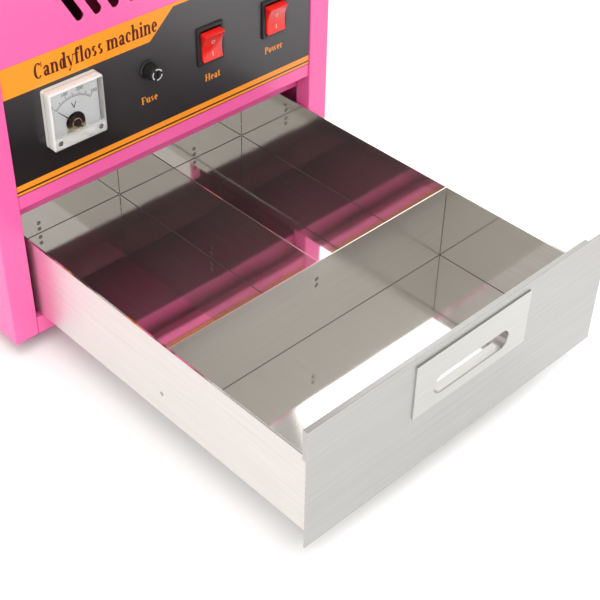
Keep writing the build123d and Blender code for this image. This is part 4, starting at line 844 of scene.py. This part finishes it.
feed(tree, shader, {
    "Base Color": tint(tree, hazy, (0.985, 0.98, 0.96, 1), (0.95, 0.945, 0.92, 1)),
    "Roughness": calc(tree, "ADD", calc(tree, "MULTIPLY", milky, 0.3),
                      remap(tree, scuffs, 0.6, 0.75, 0.02, 0.08)),
    "Transmission Weight": calc(tree, "SUBTRACT", 1.0, milky),
    "Normal": edges["Normal"], "IOR": 1.3})
dress(clear_cover, "meter_cover")

# ======================================================================================
# Rocker switches: black snap-in bodies with a bezel, and red rockers with a hollowed
# face. Each rocker carries the usual bar and ring in white, filled into the moulding.
dress(black_plastic, "heat_switch_body", "power_switch_body")
rocker_red, tree, shader = new_finish("red_rocker")
grain = grained(tree, (1500.0,) * 3, 2.0)
feed(tree, shader, {
    "Base Color": tint(tree, grain, (0.86, 0.022, 0.014, 1), (0.72, 0.012, 0.01, 1)),
    "Roughness": remap(tree, wiping(tree, 40.0), 0.0, 1.0, 0.14, 0.26),
    "Normal": bumped(tree, grain, 0.15, 0.00003),
    "Subsurface Weight": 0.12, "Subsurface Scale": 0.002, "Coat Weight": 0.3})
white_fill = ink("white_fill", (0.86, 0.56, 0.52, 1))

rocker_tilt = math.radians(8)
rocker_hollow = 0.0026
rocker_face_steps = 20
bezel_side, bezel_end = 0.00345, 0.0040
mark_lift, fill_depth = 0.00005, 0.00008


def paved(mesh, rows):
    """Quads between each row of two corners and the next row."""
    for first, second in zip(rows, rows[1:]):
        mesh.faces.new((first[0], first[1], second[1], second[0]))


def rocker(name, joint_name):
    """A rocker with its bar and ring, made level and then turned in at its foot."""
    joint = next(one for one in frame["joints"] if one["name"] == joint_name)
    body_low, body_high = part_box(name.replace("rocker", "switch_body"))
    pivot = Vector(joint["pos_m"])
    half_width = (body_high.x - body_low.x) / 2 - bezel_side
    half_height = (body_high.z - body_low.z) / 2 - bezel_end
    proud, back, lip = 0.0065, 0.0024, -0.0014
    face_share, back_share = 0.97, 0.72

    def face_depth(height):
        return -proud + rocker_hollow / 2 - rocker_hollow * (height / half_height) ** 2

    outline = [(face_depth(half_height * t), half_height * face_share * t)
               for t in (2 * k / rocker_face_steps - 1 for k in range(rocker_face_steps + 1))]
    outline += [(lip, half_height), (back, half_height * back_share),
                (back, -half_height * back_share), (lip, -half_height)]
    mesh = bmesh.new()
    ends = [[mesh.verts.new((side * half_width, y, z)) for y, z in outline] for side in (-1, 1)]
    for k in range(len(outline)):
        after = (k + 1) % len(outline)
        mesh.faces.new((ends[0][k], ends[0][after], ends[1][after], ends[1][k]))
    mesh.faces.new(ends[0][::-1])
    mesh.faces.new(ends[1])
    bmesh.ops.recalc_face_normals(mesh, faces=mesh.faces[:])
    sharp_angle, corner_radius = math.radians(25), 0.0006
    corners = [edge for edge in mesh.edges if edge.calc_face_angle() > sharp_angle]
    bmesh.ops.bevel(mesh, geom=corners, offset=corner_radius, segments=3, profile=0.5, affect="EDGES")
    seat = Matrix.Translation(pivot) @ Matrix.Rotation(rocker_tilt, 4, "X")
    bmesh.ops.transform(mesh, matrix=seat, verts=mesh.verts[:])
    moulded = plain_mesh(f"{name}_moulding", mesh, rocker_red)
    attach(moulded, name)
    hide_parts(name)

    marks = bmesh.new()
    bar_height, bar_width, bar_rows = 0.0036, 0.0007, 8
    ring_inner, ring_outer, ring_steps = 0.0011, 0.0017, 28
    bar_middle, ring_middle = -half_height * 0.56, half_height * 0.3
    bar = [[(side * bar_width / 2, bar_middle + bar_height * (k / bar_rows - 0.5)) for side in (-1, 1)]
           for k in range(bar_rows + 1)]
    ring = [[(r * math.cos(turn), ring_middle + r * math.sin(turn)) for r in (ring_inner, ring_outer)]
            for turn in (2 * math.pi * k / ring_steps for k in range(ring_steps + 1))]
    for rows in (bar, ring):
        paved(marks, [[marks.verts.new((x, face_depth(z) - mark_lift, z)) for x, z in row] for row in rows])
    bmesh.ops.remove_doubles(marks, verts=marks.verts[:], dist=0.00001)
    bmesh.ops.transform(marks, matrix=seat, verts=marks.verts[:])
    bmesh.ops.recalc_face_normals(marks, faces=marks.faces[:])
    printed = plain_mesh(f"{name}_marks", marks, white_fill)
    thicken(printed, fill_depth)
    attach(printed, name)


rocker("heat_rocker", "heat_switch")
rocker("power_rocker", "power_switch")
dress(rocker_red, "heat_rocker", "power_rocker")
brass = rolled_steel("plated_brass", (0.78, 0.56, 0.25, 1), (0.25, 0.4), (1800.0, 1800.0, 1800.0),
                     grain_depth=0.00003, wave_depth=0.0001, edge_radius=0.0002)
dress(brass, "switch_tabs", "meter_terminals")

# ======================================================================================
# Fuse holder: a ribbed black bayonet cap on a flanged body, with a pale ring printed
# round the driver slot. Behind it sit the carrier, the glass fuse and the ring nut.
dress(black_plastic, "fuse_body", "fuse_cap", "fuse_nut", "fuse_carrier")
fuse_glass, tree, shader = new_finish("fuse_glass")
cloud = wiping(tree, 120.0)
feed(tree, shader, {"Base Color": tint(tree, cloud, (0.93, 0.96, 0.95, 1), (0.86, 0.9, 0.89, 1)),
                    "Roughness": remap(tree, cloud, 0.0, 1.0, 0.02, 0.08), "Transmission Weight": 1.0})
dress(fuse_glass, "glass_fuse")

cap_low, cap_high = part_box("fuse_cap")
cap_middle = ((cap_low.x + cap_high.x) / 2, cap_low.y - mark_lift, (cap_low.z + cap_high.z) / 2)
grey_fill = ink("grey_fill", (0.66, 0.66, 0.68, 1))
ring_mesh = bmesh.new()
dash_count, dash_steps, first_dash, dash_gap = 3, 8, 0.35, 0.55
dash_radii = (0.0036, 0.0045)
sweep_angle = 2 * math.pi / dash_count - dash_gap
for dash in range(dash_count):
    start = 2 * math.pi * dash / dash_count + first_dash
    paved(ring_mesh, [[ring_mesh.verts.new(around(cap_middle, radius, start + sweep_angle * k / dash_steps))
                       for radius in dash_radii] for k in range(dash_steps + 1)])
bmesh.ops.recalc_face_normals(ring_mesh, faces=ring_mesh.faces[:])
cap_ring = plain_mesh("fuse_cap_ring", ring_mesh, grey_fill)
thicken(cap_ring, fill_depth)
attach(cap_ring, "fuse_holder_cap")

# ======================================================================================
# Bowl and head: a spun stainless bowl on a grey ring gasket, and a machined aluminium
# head. Both keep the fine rings that spinning and turning leave round their axis.
axis_point = (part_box("drive_shaft")[0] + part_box("drive_shaft")[1]) / 2

turned_rings, given, result = new_group(
    "turned_rings", {"Axis": (0.0, 0.0, 0.0), "Rings": 1500.0}, {"Grain": "NodeSocketFloat"})
from_axis = put(turned_rings, "ShaderNodeVectorMath",
                {0: object_place(turned_rings), 1: given["Axis"]}, operation="SUBTRACT").outputs[0]
parts = put(turned_rings, "ShaderNodeSeparateXYZ", {0: from_axis}).outputs
squares = calc(turned_rings, "ADD", calc(turned_rings, "POWER", parts["X"], 2.0),
               calc(turned_rings, "POWER", parts["Y"], 2.0))
radius = calc(turned_rings, "SQRT", squares)
ring_place = put(turned_rings, "ShaderNodeCombineXYZ", {
    0: calc(turned_rings, "MULTIPLY", radius, given["Rings"]),
    1: calc(turned_rings, "MULTIPLY", parts["Z"], given["Rings"]),
    2: calc(turned_rings, "MULTIPLY", calc(turned_rings, "ARCTAN2", parts["Y"], parts["X"]), 2.0)}).outputs[0]
turned_rings.links.new(noise(turned_rings, ring_place, 1.0, 5.0), result["Grain"])


def turned_metal(name, colour, roughness, ring_count, ring_depth, edge_radius):
    """Spun or turned metal with fine rings round the machine's upright axis."""
    material, tree, shader = new_finish(name)
    rings = place_group(tree, turned_rings, {"Axis": axis_point, "Rings": ring_count})["Grain"]
    wiped = wiping(tree, 6.0)
    dust = dusting(tree, 200.0)
    edges = softened(tree, edge_radius, 300.0)
    body = tint(tree, spread(tree, rings), colour, shaded(colour, 0.86))
    body = laid_over(tree, edges["Wear"], 0.5, body, (0.95, 0.95, 0.94, 1))
    soiled = calc(tree, "ADD", calc(tree, "MULTIPLY", wiped, 0.06), calc(tree, "MULTIPLY", dust, 0.1))
    feed(tree, shader, {
        "Base Color": body, "Roughness": calc(tree, "ADD", spread(tree, rings, *roughness), soiled),
        "Metallic": 1.0, "Normal": bumped(tree, rings, 0.3, ring_depth, Normal=edges["Normal"])})
    return material


bowl_steel = turned_metal("spun_steel", (0.74, 0.74, 0.73, 1), (0.16, 0.26),
                          ring_count=700.0, ring_depth=0.00006, edge_radius=0.0008)
dress(bowl_steel, "bowl")
gasket_rubber = moulding("gasket_rubber", (0.42, 0.42, 0.4, 1), (0.55, 0.7), edge_radius=0.0006)
dress(gasket_rubber, "bowl_gasket")
head_aluminium = turned_metal("turned_aluminium", (0.8, 0.8, 0.81, 1), (0.22, 0.34),
                              ring_count=1600.0, ring_depth=0.00005, edge_radius=0.0005)
dress(head_aluminium, "head_band", "head_base", "head_cap")
bright_steel = turned_metal("ground_steel", (0.66, 0.66, 0.67, 1), (0.14, 0.24),
                            ring_count=1800.0, ring_depth=0.00003, edge_radius=0.0003)
dress(bright_steel, "drive_shaft", "motor_bearings")
heater_metal = turned_metal("heat_tinted_steel", (0.34, 0.27, 0.22, 1), (0.35, 0.5),
                            ring_count=900.0, ring_depth=0.00008, edge_radius=0.0003)
dress(heater_metal, "heater_coil")
ceramic = moulding("glazed_ceramic", (0.86, 0.84, 0.77, 1), (0.15, 0.25), grain_size=500.0)
dress(ceramic, "ceramic_posts")
dress(screw_zinc, "head_nut")

# ======================================================================================
# Drive and wiring behind the panels: enamelled motor can, laminated core, phenolic and
# cream mouldings, copper rings with carbon brushes, zinc brackets, guides and clips.
motor_paint = moulding("motor_enamel", (0.05, 0.052, 0.056, 1), (0.3, 0.45), grain_size=500.0)
stator_iron = rolled_steel("laminated_iron", (0.36, 0.33, 0.3, 1), (0.4, 0.6), (60.0, 60.0, 4000.0),
                           grain_depth=0.0001, wave_depth=0.0001, edge_radius=0.0002)
brown_insulator = moulding("phenolic", (0.12, 0.045, 0.02, 1), (0.4, 0.55), grain_size=700.0)
carbon = moulding("carbon_block", (0.03, 0.03, 0.032, 1), (0.5, 0.65), grain_size=2500.0)
cream_plastic = moulding("cream_moulding", (0.74, 0.68, 0.52, 1), (0.35, 0.45))
dress(motor_paint, "motor_can")
dress(stator_iron, "motor_stator", "motor_rotor")
dress(brown_insulator, "ring_hub", "brush_holder")
dress(carbon, "carbon_brushes")
dress(cream_plastic, "terminal_block", "motor_capacitor")
dress(brass, "slip_rings", "terminal_screws")
dress(zinc_steel, "motor_bracket", "capacitor_clip", "drawer_guides")
dress(screw_zinc, "bracket_studs", "back_panel_screws", "foot_screws")

# ======================================================================================
# Feet, mounts and cable gland: moulded black rubber and nylon, screwed on from below
# and behind. The rubber is dull and picks up dust on its upper edges.
foot_rubber = moulding("foot_rubber", (0.022, 0.022, 0.023, 1), (0.6, 0.75), grain_size=900.0,
                       grain_depth=0.00008)
dress(foot_rubber, "rubber_feet", "rubber_mounts")
dress(black_plastic, "cable_gland", "gland_nut")

# ======================================================================================
# Panel screws: plated pan-head screws with a cross recess. They hold the deck, the
# electronics shelf and the base pan to the side panels, and stand on the outside.
screw_tree, given, result = new_tree("pan_head_screws", {
    "Radius": 0.0036, "Rise": 0.0018, "Recess": 0.0009, "Finish": None})
head = put(screw_tree, "GeometryNodeMeshCone", {
    "Vertices": 28, "Radius Top": calc(screw_tree, "MULTIPLY", given["Radius"], 0.72),
    "Radius Bottom": given["Radius"], "Depth": given["Rise"]}).outputs[0]
blade = calc(screw_tree, "MULTIPLY", given["Radius"], 1.05)
cutters = []
for across, along in ((blade, given["Recess"]), (given["Recess"], blade)):
    size = put(screw_tree, "ShaderNodeCombineXYZ", {0: across, 1: along, 2: given["Rise"]}).outputs[0]
    cube = put(screw_tree, "GeometryNodeMeshCube", {"Size": size}).outputs[0]
    lift = put(screw_tree, "ShaderNodeCombineXYZ", {2: given["Rise"]}).outputs[0]
    cutters.append(put(screw_tree, "GeometryNodeTransform",
                       {"Geometry": cube, "Translation": lift}).outputs[0])
recessed = put(screw_tree, "GeometryNodeMeshBoolean", {0: head}, operation="DIFFERENCE")
for cutter in cutters:
    screw_tree.links.new(cutter, recessed.inputs[1])
close_tree(screw_tree, stand_on_points(screw_tree, given["Geometry"], recessed.outputs[0]),
           given["Finish"], result)

side_low, side_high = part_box("right_side_panel")
shelf_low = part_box("electronics_shelf")[0]
deck_screw_drop, shelf_screw_rise, pan_screw_rise = 0.007, 0.024, 0.012
screw_heights = (side_high.z - deck_screw_drop, shelf_low.z + shelf_screw_rise, side_low.z + pan_screw_rise)
depth_shares = (0.16, 0.5, 0.84)
screw_points = []
for side in (-1, 1):
    for share in depth_shares:
        y = side_low.y + share * (side_high.y - side_low.y)
        for z in screw_heights:
            screw_points.append(((side * side_high.x, y, z), (side, 0, 0)))
panel_screws = grown("panel_screws", facing_points("screw_places", screw_points), screw_tree,
                     {"Finish": screw_zinc})
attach(panel_screws, "cabinet")
